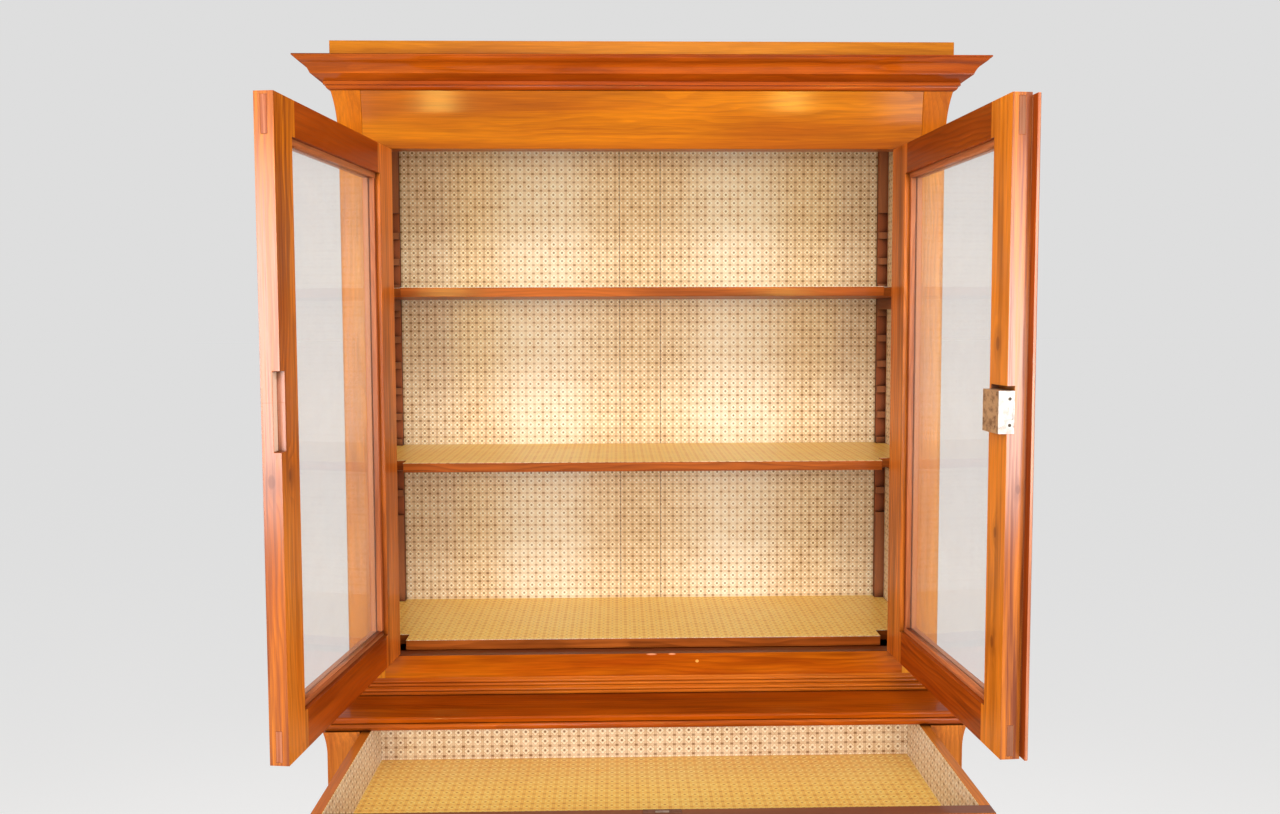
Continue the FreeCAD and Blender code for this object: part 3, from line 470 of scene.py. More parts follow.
def paint_wood(node, finish_name, turn=0.0, knots=(), touches=(), glossy=None, edge=SOFT_EDGE):
    """Give each solid of a node wood whose grain runs along its greatest length."""
    item = nodes[node]
    mesh = item.data
    owners = solids_of(mesh)
    back = Matrix.Rotation(-turn, 3, "Z")
    corners = {}
    for face, owner in zip(mesh.polygons, owners):
        corners.setdefault(owner, []).extend(back @ mesh.vertices[index].co for index in face.vertices)
    axis_of = {}
    for owner, places in corners.items():
        spans = [max(p[i] for p in places) - min(p[i] for p in places) for i in range(3)]
        axis_of[owner] = AXES[spans.index(max(spans))]
    order = list(axis_of)
    mesh.materials.clear()
    seed = sum(ord(letter) * place for place, letter in enumerate(node, start=1))
    for number, owner in enumerate(order):
        mesh.materials.append(wood("%s_%d" % (node, number), finish_name, axis_of[owner], turn, knots,
                                   touches, glossy, seed + number))
    for face, owner in zip(mesh.polygons, owners):
        face.material_index = order.index(owner)
    if edge:
        soften(item, edge)


# Lining paper printed with a cane weave: what lies inside one repeat is in shares of the pitch.
# A join is (place, width, strength).
CANE_PITCH = 0.0192
SEAM_OFF = 0.42
SLANT_SEAM_OFF = 0.46
SHINE_OFF = 0.29
SEAM_WIDTH = (0.1, 0.02)
PAPER_JOINS = ((-0.0478, 0.0018, 0.65), (0.0478, 0.0016, 0.8))
JOIN_CORE = 0.0004
JOIN_TONE = srgb(122, 82, 44)
MIDDLE_BOARD = (0.0495, 0.0465)
PANEL_MIDDLE = 0.23
PANEL_SHEEN = (0.15, 0.04)
DRAWER_SHADOW = (-0.34, -0.17)
LEDGE_LEVEL = 0.95
PAPER_IOR = 1.45


def make_paper():
    """Cream strands in pairs, crossed by diagonals round eight-sided holes."""
    material, graph = new_material("cane_paper")
    texture = graph.add("TexCoord")
    place = texture.outputs["Object"]
    x, y, z = graph.split(place)
    looks_sideways, looks_forward, lies_flat = [
        graph.math("GREATER_THAN", graph.math("ABSOLUTE", side), 0.5)
        for side in graph.split(texture.outputs["Normal"])]
    in_drawer = graph.math("LESS_THAN", z, LEDGE_LEVEL)
    in_case = graph.math("SUBTRACT", 1.0, in_drawer)
    fade = graph.noise(place, (3, 3, 3), 3.0)
    blots = graph.noise(place, (40, 40, 40), 3.0)

    def choose(flag, first, second):
        unflagged = graph.math("SUBTRACT", 1.0, flag)
        return graph.math("ADD", graph.times(unflagged, first), graph.times(flag, second))

    def within_repeat(along):
        return graph.apart(graph.math("FRACT", graph.math("DIVIDE", along, CANE_PITCH)), 0.5)

    def seam(off, centre):
        return graph.span(graph.apart(off, centre), *SEAM_WIDTH)

    def printed(paper, mark, clear, blotted, tone):
        return graph.mix(graph.times(mark, graph.span(blots, *MIDRANGE, clear, blotted)), paper, tone)

    # The weave
    off_u = within_repeat(choose(looks_sideways, x, y))
    off_v = within_repeat(choose(lies_flat, z, y))
    slant = graph.math("ADD", off_u, off_v)
    near = graph.math("MAXIMUM", off_u, off_v)
    hole = graph.times(graph.span(near, 0.18, 0.06), graph.span(slant, 0.27, 0.11))
    crossing = graph.times(graph.span(off_u, 0.26, 0.42), graph.span(off_v, 0.34, 0.44))
    shine = graph.times(graph.span(graph.apart(near, SHINE_OFF), 0.11, 0.03),
                        graph.span(graph.math("MINIMUM", off_u, off_v), 0.2, 0.05))
    seams = graph.math("MAXIMUM", seam(off_u, SEAM_OFF), graph.times(seam(off_v, SEAM_OFF), 0.8))
    lines = graph.math("MAXIMUM", seams, seam(slant, SLANT_SEAM_OFF))

    # Tones: upright sheets are painted paler in the middle of each panel, a painted sheen, and the drawer's
    # sheet is painted darker towards the back, a painted shadow
    off_middle = graph.math("ABSOLUTE", x)
    off_panel = graph.apart(off_middle, PANEL_MIDDLE)
    painted_sheen = graph.times(graph.span(off_panel, *PANEL_SHEEN, 0.0, 0.9), in_case)
    strand = graph.mix(graph.span(fade, *MIDRANGE), srgb(252, 236, 204), srgb(248, 227, 191))
    strand = graph.mix(painted_sheen, strand, srgb(255, 251, 236))
    strand = graph.mix(graph.span(off_middle, *MIDDLE_BOARD, 0.0, 0.25), strand, srgb(232, 198, 140))
    strand = graph.mix(in_drawer, strand, srgb(252, 240, 222))
    # Flat-lying sheets take yellower tones of their own, made brighter as painted light
    strand_flat = graph.mix(graph.span(fade, *MIDRANGE), srgb(255, 224, 122), srgb(255, 213, 104))
    # Painted shadow: the drawer's flat paper darkens towards the back, under the ledge
    painted_shadow = graph.times(in_drawer, graph.span(y, *DRAWER_SHADOW, 0.0, 0.45))
    strand_flat = graph.mix(painted_shadow, strand_flat, srgb(176, 128, 84))
    line_upright = graph.mix(painted_sheen, srgb(194, 154, 102), srgb(218, 186, 142))
    hole_upright = graph.mix(painted_sheen, srgb(128, 90, 48), srgb(150, 114, 72))
    line_tone = graph.mix(lies_flat, line_upright, srgb(240, 182, 90))
    hole_tone = graph.mix(lies_flat, hole_upright, srgb(206, 144, 66))
    shine_tone = graph.mix(lies_flat, srgb(255, 253, 242), srgb(255, 234, 156))

    paper = graph.mix(lies_flat, strand, strand_flat)
    paper = printed(paper, lines, 0.45, 0.8, line_tone)
    paper = printed(paper, shine, 1.0, 0.6, shine_tone)
    paper = printed(paper, hole, 0.7, 1.0, hole_tone)
    paper = printed(paper, crossing, 0.5, 0.95, hole_tone)
    joins = [graph.times(graph.span(graph.apart(x, where), width, JOIN_CORE), strength)
             for where, width, strength in PAPER_JOINS]
    on_back = graph.times(looks_forward, in_case)
    paper = graph.mix(graph.times(graph.math("MAXIMUM", *joins), on_back), paper, JOIN_TONE)
    shader = graph.add("BsdfPrincipled", {
        "Base Color": paper, "Roughness": graph.span(fade, *MIDRANGE, 0.34, 0.42), "IOR": PAPER_IOR})
    graph.surface(shader.outputs[0])
    return material


PANE_TINT = (0.985, 0.98, 0.975, 1)
PANE_RELIEF = {"Strength": 0.05, "Distance": 0.002}
PANE_ROUGH = 0.02
LEAST_REFLECTION = 0.03
GRAZING_REFLECTION = 0.3
GRAZING_POWER = 5.0
DUST_TONE = srgb(255, 250, 248)
DUST = (0.08, 0.14)


def make_glass():
    """Old clear pane: mostly what lies behind it, with reflections that grow at a grazing angle."""
    material, graph = new_material("pane_glass")
    place = graph.object_place()
    waves = graph.noise(place, (7, 7, 3), 1.0)
    bump = graph.add("Bump", {"Height": waves, **PANE_RELIEF}).outputs[0]
    facing = graph.add("LayerWeight", {"Blend": 0.5, "Normal": bump}).outputs["Facing"]
    grazing = graph.math("POWER", facing, GRAZING_POWER)
    fresnel = graph.math("MULTIPLY_ADD", grazing, GRAZING_REFLECTION, LEAST_REFLECTION)
    clear = graph.add("BsdfTransparent", {"Color": PANE_TINT}).outputs[0]
    shine = graph.add("BsdfGlossy", {"Color": WHITE, "Roughness": PANE_ROUGH, "Normal": bump}).outputs[0]
    haze = graph.add("BsdfDiffuse", {"Color": DUST_TONE}).outputs[0]
    dust = graph.span(graph.noise(place, (5, 5, 5), 4.0), 0.35, 0.75, *DUST)
    dusty = graph.add("MixShader", {0: dust, 1: clear, 2: haze}).outputs[0]
    pane = graph.add("MixShader", {0: fresnel, 1: dusty, 2: shine}).outputs[0]
    graph.surface(pane)
    return material


METAL_RELIEF = {"Strength": 0.25, "Distance": 0.0003}
SCRATCH_RELIEF = 0.3
STAIN_SPAN = (0.42, 0.62)
SPECK_SPAN = (0.45, 0.62)
RUST_SOFT = 0.2
RUST_METALLIC = 0.2
RUST_ROUGH = 0.8


def make_metal(name, clean, painted_shadow, rust, metallic, rough, wear):
    """Old metal, its tones given as screen values: clean under stains, with rust in patches."""
    material, graph = new_material(name)
    place = graph.object_place()
    patches = graph.noise(place, (90, 90, 90), 5.0, 0.62)
    specks = graph.noise(place, (520, 520, 520), 3.0, 0.6)
    scratches = graph.noise(place, (60, 60, 1400), 2.0)
    colour = graph.mix(graph.span(patches, *STAIN_SPAN), srgb(*clean), srgb(*painted_shadow))
    rusty = graph.times(graph.span(specks, *SPECK_SPAN), graph.span(patches, wear, wear + RUST_SOFT))
    colour = graph.mix(rusty, colour, srgb(*rust))
    colour = graph.shaded(colour, graph.span(scratches, *MIDRANGE, 0.9, 1.06, smooth=False))
    height = graph.math("MULTIPLY_ADD", scratches, SCRATCH_RELIEF, specks)
    bump = graph.add("Bump", {"Height": height, **METAL_RELIEF}).outputs[0]
    shader = graph.add("BsdfPrincipled", {
        "Base Color": colour, "Metallic": graph.span(rusty, 0.0, 1.0, metallic, RUST_METALLIC),
        "Roughness": graph.span(rusty, 0.0, 1.0, rough, RUST_ROUGH), "Normal": bump})
    graph.surface(shader.outputs[0])
    return material


def paint(node, material):
    nodes[node].data.materials.clear()
    nodes[node].data.materials.append(material)


class Door:
    """A glazed leaf in its own frame: where it hangs, and which way it runs and faces inwards."""

    def __init__(self, joint_name, side):
        joint = joints[joint_name]
        angle = math.radians(-joint["range_deg"][0])
        self.body = joint["child"]
        self.turn = side * angle
        self.hinge = Vector(joint["pos_m"])
        swing = Matrix.Rotation(self.turn, 3, "Z")
        self.along = swing @ Vector((-side, 0, 0))
        self.inward = swing @ Vector((0, 1, 0))

    def at(self, along, inward, height):
        """A place by its distance from the hinge axis, depth from the outer side and height."""
        flat = Vector((self.hinge.x, self.hinge.y, 0))
        return flat + self.along * along + self.inward * inward + Vector((0, 0, height))


LEFT, RIGHT = -1, 1
left_door = Door("left_glass_door_hinge", LEFT)
right_door = Door("right_glass_door_hinge", RIGHT)

make_camera()


def heights(low, high, soft):
    """A zone between two heights over the floor."""
    return (UPWARD, low, high, soft)


def depths(low, high, soft):
    """A zone between two depths, counted backwards from the middle of the base."""
    return (-FORWARD, low, high, soft)


# Wood of the case, the base and the drawer
FRIEZE_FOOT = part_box("frieze_front")[0][2]
SHADE_BELOW = 0.02
SHADE_ABOVE = 0.012
SHADE_SOFT = 0.012
SHADED_FOOT = Touch(srgb(140, 58, 0), 0.55, zones=[
    heights(FRIEZE_FOOT - SHADE_BELOW, FRIEZE_FOOT + SHADE_ABOVE, SHADE_SOFT)])
SILL_FRONT = -0.1325
SILL_EDGE = 0.9785
SILL_MIDDLE = 0.9634
CHIP = srgb(236, 158, 116)
FRESH_CHIP = srgb(250, 176, 84)
CHIP_STRENGTH = 0.9
# The sill's upward face is painted dark; the spots are pale chips
SILL_DARK_TOP_AND_CHIPS = [
    Touch(srgb(92, 36, 14), 0.9, facing=UPWARD),
    Spot(CHIP, CHIP_STRENGTH, centre=(0.0132, SILL_FRONT, SILL_EDGE), radii=(0.013, 0.004, 0.0022)),
    Spot(CHIP, CHIP_STRENGTH, centre=(0.0551, SILL_FRONT, SILL_EDGE), radii=(0.009, 0.004, 0.0022)),
    Spot(FRESH_CHIP, CHIP_STRENGTH, centre=(0.106, SILL_FRONT, SILL_MIDDLE), radii=(0.0045, 0.004, 0.0038))]
RACK_DEPTH = 0.02
RACK_SOFT = 0.0005
TOOTH_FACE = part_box("shelf_racks")[1][1] - RACK_DEPTH
TOOTH_BAND = depths(TOOTH_FACE - 0.002, TOOTH_FACE + 0.001, RACK_SOFT)
NOTCH_BAND = depths(TOOTH_FACE + 0.002, TOOTH_FACE + RACK_DEPTH, RACK_SOFT)
# Painted light and shade on the racks: tooth fronts paler as a painted highlight, notch backs in a deeper
# tone as painted shade
RACK_LIGHT_AND_SHADE = [
    Touch(srgb(176, 118, 86), 0.55, FORWARD, [TOOTH_BAND]),
    Touch(srgb(160, 92, 62), 0.9, FORWARD, [NOTCH_BAND])]
VARNISHED_FRONT = Touch(srgb(178, 84, 12), 0.85, facing=FORWARD)
DUSTY_TOP = Touch(srgb(112, 72, 58), 0.85, facing=UPWARD)

PLAIN_WOOD = {
    "cap": ["cap_boards"],
    "front_post": ["upper_posts"],
    "post": ["base_posts", "drawer_sides"],
    "moulding": ["upper_base_moulding"],
    "cornice": ["cornice_moulding", "base_top_moulding"],
    "case": ["upper_side_boards", "base_side_boards", "drawer_rail", "left_base_door_frame",
             "left_base_door_panel", "right_base_door_frame", "right_base_door_panel"],
    "ledge": ["base_top_board"],
    "shelf": ["glazed_shelves", "upper_bottom_board"],
    "raw": ["upper_top_board", "upper_back_boards", "base_back_boards", "drawer_runners", "drawer_back",
            "drawer_bottom"],
}
for finish_name, wooden in PLAIN_WOOD.items():
    for node in wooden:
        paint_wood(node, finish_name)
for node in ("frieze_front", "frieze_side_boards"):
    paint_wood(node, "golden", touches=[SHADED_FOOT])
paint_wood("frieze_corner_blocks", "block", touches=[SHADED_FOOT])
paint_wood("upper_bottom_rail", "case", touches=SILL_DARK_TOP_AND_CHIPS)
paint_wood("plinth_boards", "case", edge=0)
for node in ("base_bottom_board", "base_shelf"):
    paint_wood(node, "raw", touches=[VARNISHED_FRONT])
paint_wood("drawer_front", "case", touches=[DUSTY_TOP])
paint_wood("shelf_racks", "dark", edge=FINE_EDGE, touches=RACK_LIGHT_AND_SHADE)
paint_wood("shelf_bearers", "dark", edge=FINE_EDGE)

# Wood of the glazed leaves: the lip and the inner face are counted from a leaf's outer side,
# the keeper's recess from its closing edge
LIP_DEPTH = (0.002, 0.0111)
LIP_DEPTH_SOFT = 0.0003
LIP_SIDE_SOFT = 0.0005
LIP_TONE = srgb(214, 132, 70)
LEAF_END = 0.5237
INNER_FACE = 0.0316
KEEPER_HEIGHTS = (1.4635, 1.5815)
KEEPER_DEPTH = (0.0145, 0.0008)
KEEPER_SOFT = 0.001
SCORED_HEIGHTS = (1.5354, 1.5366)
SCORE_SOFT = 0.0004
BARE_WOOD = srgb(252, 222, 200)
SCORED_LINE = srgb(150, 92, 62)
EDGE_STREAKS = (150, 150, 3)
FACE_STREAKS = (60, 60, 2)
# Painted highlight: the pale glare on a leaf's closing edge
EDGE_GLARE_TONE = srgb(226, 172, 156)
GLARE_SOFT = 0.12
DARK_STREAK = srgb(116, 48, 20)
ASTRAGAL_EDGE = srgb(210, 142, 108)
# A longer direction takes in the rounded sides of the astragal
ROUND_REACH = 1.5


def pane_lip(door):
    """The lip that a pane rests against, seen through the glass: a pale varnish tone laid over the crevice
    darkening, painted light where the lip lies in shade.
    """
    corners = [corner.co for corner in nodes[door.body + "_pane"].data.vertices]
    outer_side = door.hinge.dot(door.inward)
    zones = [(door.inward, outer_side + LIP_DEPTH[0], outer_side + LIP_DEPTH[1], LIP_DEPTH_SOFT)]
    for way in (door.along, UPWARD):
        reaches = [corner.dot(way) for corner in corners]
        zones.append((way, min(reaches), max(reaches), LIP_SIDE_SOFT))
    return Touch(LIP_TONE, 0.8, zones=zones, over_dirt_and_shade=True)


def keeper_recess(door):
    """Bare wood in the recess for the lock's keeper, and the scored line across it."""
    end = door.hinge.dot(door.along) + LEAF_END
    inside = (door.along, end - KEEPER_DEPTH[0], end - KEEPER_DEPTH[1], SCORE_SOFT)
    bare = [heights(*KEEPER_HEIGHTS, KEEPER_SOFT), inside]
    scored = [heights(*SCORED_HEIGHTS, SCORE_SOFT)]
    return [Touch(BARE_WOOD, 0.85, zones=bare, over_dirt_and_shade=True),
            Touch(SCORED_LINE, 0.5, door.along, zones=scored, over_dirt_and_shade=True)]


def paint_leaf(door, glare_heights, varnished, tenon_end, knots, face, edge=(), rails=()):
    """Paint a leaf whose closing edge is painted paler between two heights, a painted highlight; face, edge
    and rails are touches.
    """
    lip = pane_lip(door)
    touches = [
        *face,
        Touch(varnished, 0.85, door.along, streaks=EDGE_STREAKS),
        Touch(EDGE_GLARE_TONE, 0.55, door.along, [heights(*glare_heights, GLARE_SOFT)], streaks=EDGE_STREAKS),
        Touch(DARK_STREAK, 0.6, door.along, streaks=EDGE_STREAKS, sparse=True),
        Touch(DARK_STREAK, 0.5, door.inward, streaks=FACE_STREAKS, sparse=True),
        lip,
        *edge]
    rail_touches = [*rails, Touch(tenon_end, 0.85, door.along, streaks=EDGE_STREAKS), lip]
    paint_wood(door.body + "_meeting_stile", "stile", door.turn, knots, touches, door.along)
    paint_wood(door.body + "_hinge_stile", "hinge_stile", door.turn, touches=[lip])
    paint_wood(door.body + "_rails", "rail", door.turn, touches=rail_touches)
    paint_wood(door.body + "_beads", "bead", door.turn)


paint_leaf(
    left_door, glare_heights=(1.42, 1.84), varnished=srgb(154, 80, 37), tenon_end=srgb(196, 128, 98),
    knots=[(left_door.at(LEAF_END, 0.015, 1.418), 0.009),
           (left_door.at(0.497, INNER_FACE, 1.424), 0.008)],
    face=[Touch(srgb(132, 54, 14), 0.4, left_door.inward, [heights(1.62, 2.2, 0.2)], streaks=FACE_STREAKS),
          Touch(srgb(255, 154, 54), 0.55, left_door.inward, [heights(0.9, 1.4, 0.1)], streaks=FACE_STREAKS)],
    edge=keeper_recess(left_door))
paint_leaf(
    right_door, glare_heights=(1.38, 1.72), varnished=srgb(128, 65, 41), tenon_end=srgb(152, 106, 82),
    knots=[(right_door.at(0.486, INNER_FACE, 1.155), 0.008),
           (right_door.at(0.49, INNER_FACE, 1.328), 0.007),
           (right_door.at(0.488, INNER_FACE, 1.62), 0.009),
           (right_door.at(LEAF_END, 0.012, 1.40), 0.006)],
    face=[Touch(srgb(255, 150, 50), 0.5, right_door.inward, streaks=FACE_STREAKS)],
    rails=[Touch(srgb(112, 46, 14), 0.45, right_door.inward, [heights(1.9, 2.1, 0.01)])])
paint_wood("astragal", "rail", right_door.turn, glossy=right_door.along, touches=[
    Touch(ASTRAGAL_EDGE, 0.85, facing=ROUND_REACH * right_door.along, streaks=EDGE_STREAKS)])

# Paper, glass and metal
paper = make_paper()
glass = make_glass()
iron = make_metal("hinge_iron", (98, 88, 80), (70, 58, 50), (84, 48, 30),
                  metallic=0.9, rough=0.5, wear=0.5)
rusty_iron = make_metal("lock_iron", (202, 164, 126), (158, 120, 88), (112, 78, 54),
                        metallic=0.45, rough=0.5, wear=0.46)
drawer_iron = make_metal("drawer_lock_iron", (132, 96, 84), (112, 76, 64), (92, 52, 36),
                         metallic=0.5, rough=0.5, wear=0.5)
steel = make_metal("lock_steel", (200, 195, 193), (174, 165, 160), (136, 100, 78),
                   metallic=0.75, rough=0.46, wear=0.58)
old_brass = make_metal("old_brass", (176, 136, 74), (140, 100, 50), (88, 60, 32),
                       metallic=0.9, rough=0.42, wear=0.55)
for node in ("upper_lining_paper", "drawer_lining_paper"):
    paint(node, paper)
for door in (left_door, right_door):
    paint(door.body + "_pane", glass)
    paint(door.body + "_hinge_halves", iron)
for node in ("hinge_frame_halves", "left_base_door_hinge_halves", "right_base_door_hinge_halves"):
    paint(node, iron)
paint("glass_door_lock_case", rusty_iron)
for node in ("drawer_lock_case", "base_door_lock_case"):
    paint(node, drawer_iron)
for node in ("glass_door_lock_plate", "glass_door_lock_bolt", "drawer_lock_bolt", "base_door_lock_bolt"):
    paint(node, steel)


def make_hollow():
    """The floor of a hole: nearly black as painted shade, with a little dust."""
    material, graph = new_material("painted_shade_hollow")
    dust = graph.noise(graph.object_place(), (900, 900, 900), 3.0)
    tone = graph.mix(graph.span(dust, 0.35, 0.75), srgb(16, 10, 7), srgb(44, 30, 22))
    rough = graph.span(dust, *MIDRANGE, 0.75, 0.95)
    shader = graph.add("BsdfPrincipled", {"Base Color": tone, "Roughness": rough})
    graph.surface(shader.outputs[0])
    return material


# Screws and keyholes
painted_shade_hollow = make_hollow()
MERGE_REACH = 1e-6


def new_piece(name, corners, faces, materials, body):
    """A detail piece that rides on a body; faces are (corner numbers, material number) pairs."""
    mesh = bpy.data.meshes.new(name)
    mesh.from_pydata(corners, [], [face for face, _ in faces])
    for material in materials:
        mesh.materials.append(material)
    for polygon, (_, index) in zip(mesh.polygons, faces):
        polygon.material_index = index
    mesh.validate()
    piece = bpy.data.objects.new(name, mesh)
    bpy.context.scene.collection.objects.link(piece)
    tidy = bmesh.new()
    tidy.from_mesh(mesh)
    bmesh.ops.remove_doubles(tidy, verts=tidy.verts, dist=MERGE_REACH)
    bmesh.ops.recalc_face_normals(tidy, faces=tidy.faces)
    tidy.to_mesh(mesh)
    tidy.free()
    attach(piece, body)


def placed(points, centre, right, out):
    """Points given as (right, up, out) offsets from a centre, as places in the room."""
    return [centre + right * a + UPWARD * b + out * c for a, b, c in points]


SCREW_RISE = 0.0006
SCREW_STEPS = 12
DOME_FALL = 0.55
SLOT_SHARE = 0.16
SLOT_FLOOR = 0.0001


def screw_head(radius, turn):
    """A low domed head with a sawn slot: two half heads on a floor, as points and faces."""
    half_slot = radius * SLOT_SHARE
    points, faces = [], []

    def dome(a, b):
        return SCREW_RISE * (1 - DOME_FALL * (a * a + b * b) / radius ** 2)
    start = math.asin(half_slot / radius)
    for side in (1, -1):
        rows = []
        for step in range(SCREW_STEPS + 1):
            angle = start + (math.pi - 2 * start) * step / SCREW_STEPS
            arc = (radius * math.cos(angle), side * radius * math.sin(angle))
            chord = (arc[0], side * half_slot)
            middle = (arc[0], (arc[1] + chord[1]) / 2)
            row = [(*chord, 0), *((*spot, dome(*spot)) for spot in (chord, middle, arc)), (*arc, 0)]
            rows.append(range(len(points), len(points) + len(row)))
            points += row
        for row, after in zip(rows, rows[1:]):
            faces += [((row[i], row[i + 1], after[i + 1], after[i]), 0) for i in range(len(row) - 1)]
    first = len(points)
    reach = radius * math.cos(start)
    points += [(a, b, SLOT_FLOOR) for a, b in (
        (-reach, -half_slot), (reach, -half_slot), (reach, half_slot), (-reach, half_slot))]
    faces.append(((first, first + 1, first + 2, first + 3), 1))
    spin = Matrix.Rotation(turn, 3, "Z")
    return [tuple(spin @ Vector(point)) for point in points], faces


def add_screws(name, body, centres, right, out, radius, seed):
    corners, faces = [], []
    chance = random.Random(seed)
    for centre in centres:
        points, head = screw_head(radius, chance.uniform(0, math.pi))
        first = len(corners)
        corners += placed(points, centre, right, out)
        faces += [(tuple(first + index for index in face), material) for face, material in head]
    # The slots' floors are nearly black: painted shade
    new_piece(name, corners, faces, [iron, painted_shade_hollow], body)


KEYHOLE_STEPS = 16
KEYHOLE_START = math.radians(-60)
KEYHOLE_RADIUS = 0.0031
KEYHOLE_FOOT_HALF = 0.0021
KEYHOLE_FOOT_DROP = 0.0105
RIM_WIDTH = 0.0014
RIM_RISE = 0.0005
RIM_SUNK = -0.0002
HOLE_FLOOR = 0.00008


def keyhole_outline(margin):
    """A round hole with a flared slot below it, widened by a margin."""
    radius = KEYHOLE_RADIUS + margin
    foot_half = KEYHOLE_FOOT_HALF + margin
    foot = -(KEYHOLE_FOOT_DROP + margin)
    sweep = math.pi - 2 * KEYHOLE_START
    angles = [KEYHOLE_START + sweep * step / KEYHOLE_STEPS for step in range(KEYHOLE_STEPS + 1)]
    points = [(radius * math.cos(angle), radius * math.sin(angle)) for angle in angles]
    return points + [(-foot_half, foot), (foot_half, foot)]


def add_keyhole(name, body, centre, right, out):
    """The hole of a lock, floored nearly black as painted shade, in its thin metal surround."""
    inner = keyhole_outline(0)
    outer = keyhole_outline(RIM_WIDTH)
    count = len(inner)
    rings = ((inner, HOLE_FLOOR), (inner, RIM_RISE), (outer, RIM_RISE), (outer, RIM_SUNK))
    points = [(a, b, level) for outline, level in rings for a, b in outline]
    faces = [(tuple(range(count)), 1)]
    for step in range(count):
        after = (step + 1) % count
        for ring in range(len(rings) - 1):
            low = ring * count
            faces.append(((low + step, low + after, low + count + after, low + count + step), 0))
    new_piece(name, placed(points, centre, right, out), faces, [old_brass, painted_shade_hollow], body)


def upright_grid(across, y, up):
    return [Vector((x, y, z)) for x in across for z in up]


PLATE_SCREWS = [right_door.at(LEAF_END, 0.0271, height) for height in (1.4975, 1.5374)]
PLATE_SCREW_RADIUS = 0.0026
CASE_SCREW_RADIUS = 0.0024
DRAWER_SCREWS = upright_grid((-0.010, 0.040), -0.5785, (0.8325, 0.8655))
BASE_DOOR_SCREWS = upright_grid((0.0082, 0.0502), -0.2079, (0.4365, 0.4875))
GLASS_DOOR_KEYHOLE = right_door.at(0.494, 0.001, 1.519)
DRAWER_KEYHOLE = Vector((0.015, -0.6065, 0.846))
BASE_DOOR_KEYHOLE = Vector((0.0292, -0.2515, 0.464))
add_screws("glass_door_lock_plate_screws", right_door.body, PLATE_SCREWS, right_door.inward,
           right_door.along, PLATE_SCREW_RADIUS, seed=3)
add_screws("drawer_lock_screws", "drawer", DRAWER_SCREWS, -RIGHTWARD, -FORWARD, CASE_SCREW_RADIUS,
           seed=5)
add_screws("base_door_lock_screws", "right_base_door", BASE_DOOR_SCREWS, -RIGHTWARD, -FORWARD,
           CASE_SCREW_RADIUS, seed=7)
add_keyhole("glass_door_keyhole", right_door.body, GLASS_DOOR_KEYHOLE, -right_door.along,
            -right_door.inward)
add_keyhole("drawer_keyhole", "drawer", DRAWER_KEYHOLE, RIGHTWARD, FORWARD)
add_keyhole("base_door_keyhole", "right_base_door", BASE_DOOR_KEYHOLE, RIGHTWARD, FORWARD)

# Floor and light
FLOOR_HALF = 80
FLOOR_SHADE = 0.5
SKY_LIGHT = 0.4
BACKGROUND = 0.73
WARM = (1.0, 0.72, 0.16)


def seen_directly(graph):
    """1 for rays that show a picture, straight or by reflection, and 0 for rays that gather light."""
    path = graph.add("LightPath").outputs
    return graph.math("MAXIMUM", path["Is Camera Ray"],
                      graph.math("MAXIMUM", path["Is Glossy Ray"], path["Is Transmission Ray"]))


def make_floor():
    mesh = bpy.data.meshes.new("floor")
    corners = [(FLOOR_HALF * a, FLOOR_HALF * b, 0) for a, b in ((-1, -1), (1, -1), (1, 1), (-1, 1))]
    mesh.from_pydata(corners, [], [(0, 1, 2, 3)])
    floor = bpy.data.objects.new("floor", mesh)
    bpy.context.scene.collection.objects.link(floor)
    material, graph = new_material("floor")
    pale = graph.add("BsdfDiffuse", {"Color": (FLOOR_SHADE, FLOOR_SHADE, FLOOR_SHADE, 1)}).outputs[0]
    lift = graph.times(seen_directly(graph), BACKGROUND - FLOOR_SHADE * SKY_LIGHT)
    glow = graph.add("Emission", {"Color": WHITE, "Strength": lift}).outputs[0]
    graph.surface(graph.add("AddShader", {0: pale, 1: glow}).outputs[0])
    mesh.materials.append(material)


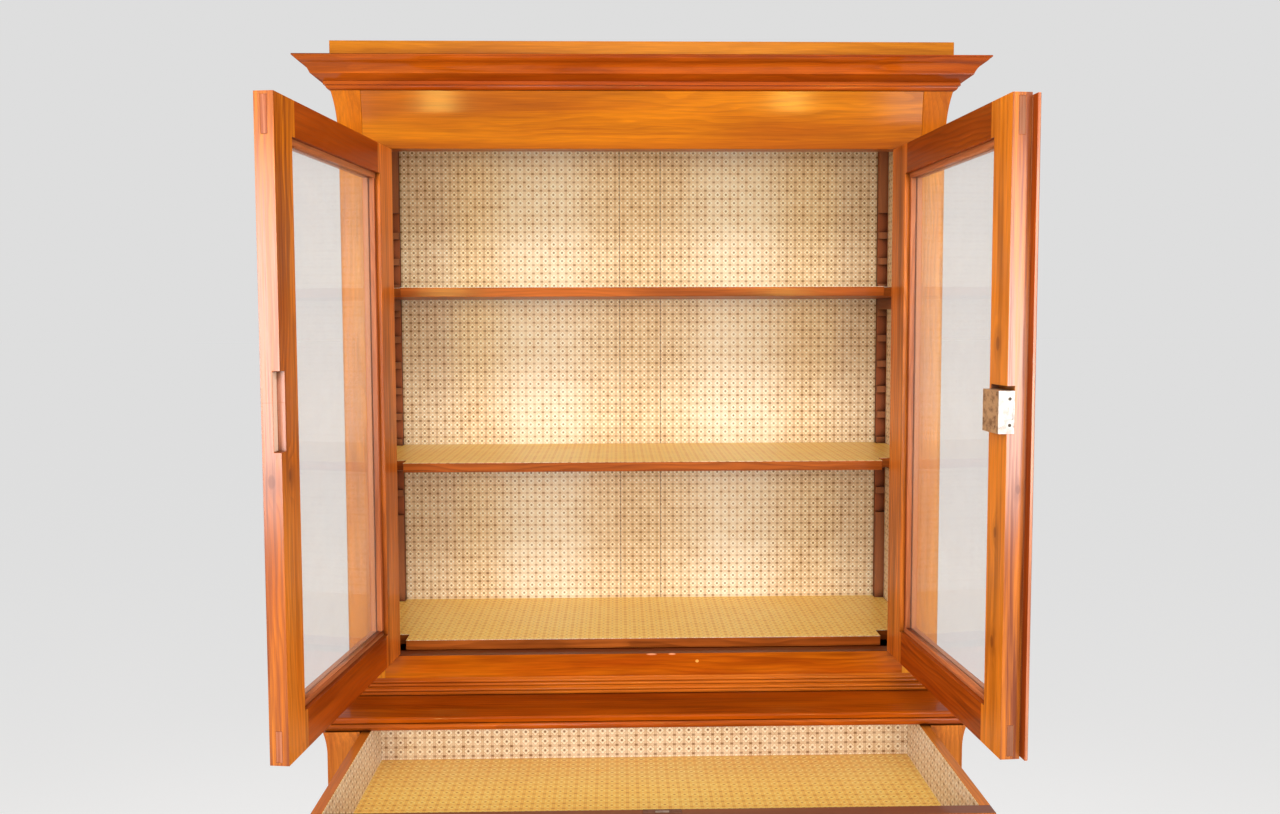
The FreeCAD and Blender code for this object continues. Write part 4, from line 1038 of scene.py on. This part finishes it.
def make_world():
    world = bpy.data.worlds.new("studio")
    bpy.context.scene.world = world
    world.use_nodes = True
    world.node_tree.nodes.clear()
    graph = Graph(world.node_tree)
    level = graph.span(seen_directly(graph), 0.0, 1.0, SKY_LIGHT, BACKGROUND, smooth=False)
    sky = graph.add("Background", {"Color": WHITE, "Strength": level})
    graph.add("OutputWorld", {"Surface": sky.outputs[0]})


def make_lamp(name, place, target, width, height, power, shines=True, tint=(1, 1, 1), spread=180):
    """A soft box; one that doesn't shine lights surfaces without being mirrored in them."""
    data = bpy.data.lights.new(name, "AREA")
    data.shape = "RECTANGLE"
    data.size = width
    data.size_y = height
    data.energy = power
    data.color = tint
    data.spread = math.radians(spread)
    lamp = bpy.data.objects.new(name, data)
    lamp.location = place
    lamp.rotation_euler = (Vector(target) - Vector(place)).to_track_quat("-Z", "Y").to_euler()
    lamp.visible_glossy = shines
    bpy.context.scene.collection.objects.link(lamp)
    return lamp


def keep_off_panes(lamps):
    """Let lamps shine on the wood without a mirror image of them in the panes."""
    panes = bpy.data.collections.new("panes")
    for door in (left_door, right_door):
        panes.objects.link(nodes[door.body + "_pane"])
    for member in panes.collection_objects:
        member.light_linking.link_state = "EXCLUDE"
    for lamp in lamps:
        lamp.light_linking.receiver_collection = panes


make_floor()
make_world()
make_lamp("left_box", place=(-1.45, -2.2, 1.6), target=(-0.2, -0.1, 1.5), width=0.75, height=1.2, power=18)
make_lamp("right_box", place=(1.4, -2.2, 1.6), target=(0.2, -0.1, 1.5), width=0.75, height=1.1, power=17)
make_lamp("front_fill", place=(-0.05, -2.9, 1.5), target=(0, 0, 1.4), width=1.6, height=0.9, power=15,
          shines=False)
make_lamp("top_fill", place=(0, -1.9, 2.8), target=(0, -0.1, 1.1), width=1.4, height=0.6, power=26,
          shines=False)
make_lamp("back_fill", place=(0, 3.4, 2.2), target=(0, 0.25, 1.2), width=2.0, height=1.6, power=14,
          shines=False, spread=80)
keep_off_panes([
    make_lamp("left_strip", place=(-0.77, -2.3, 1.76), target=(-0.4, 0, 2.0), width=0.12, height=0.4,
              power=7, tint=WARM),
    make_lamp("right_strip", place=(0.65, -2.3, 1.76), target=(0.3, 0, 2.0), width=0.12, height=0.4,
              power=6, tint=WARM)])

bpy.context.scene.view_settings.view_transform = "Standard"
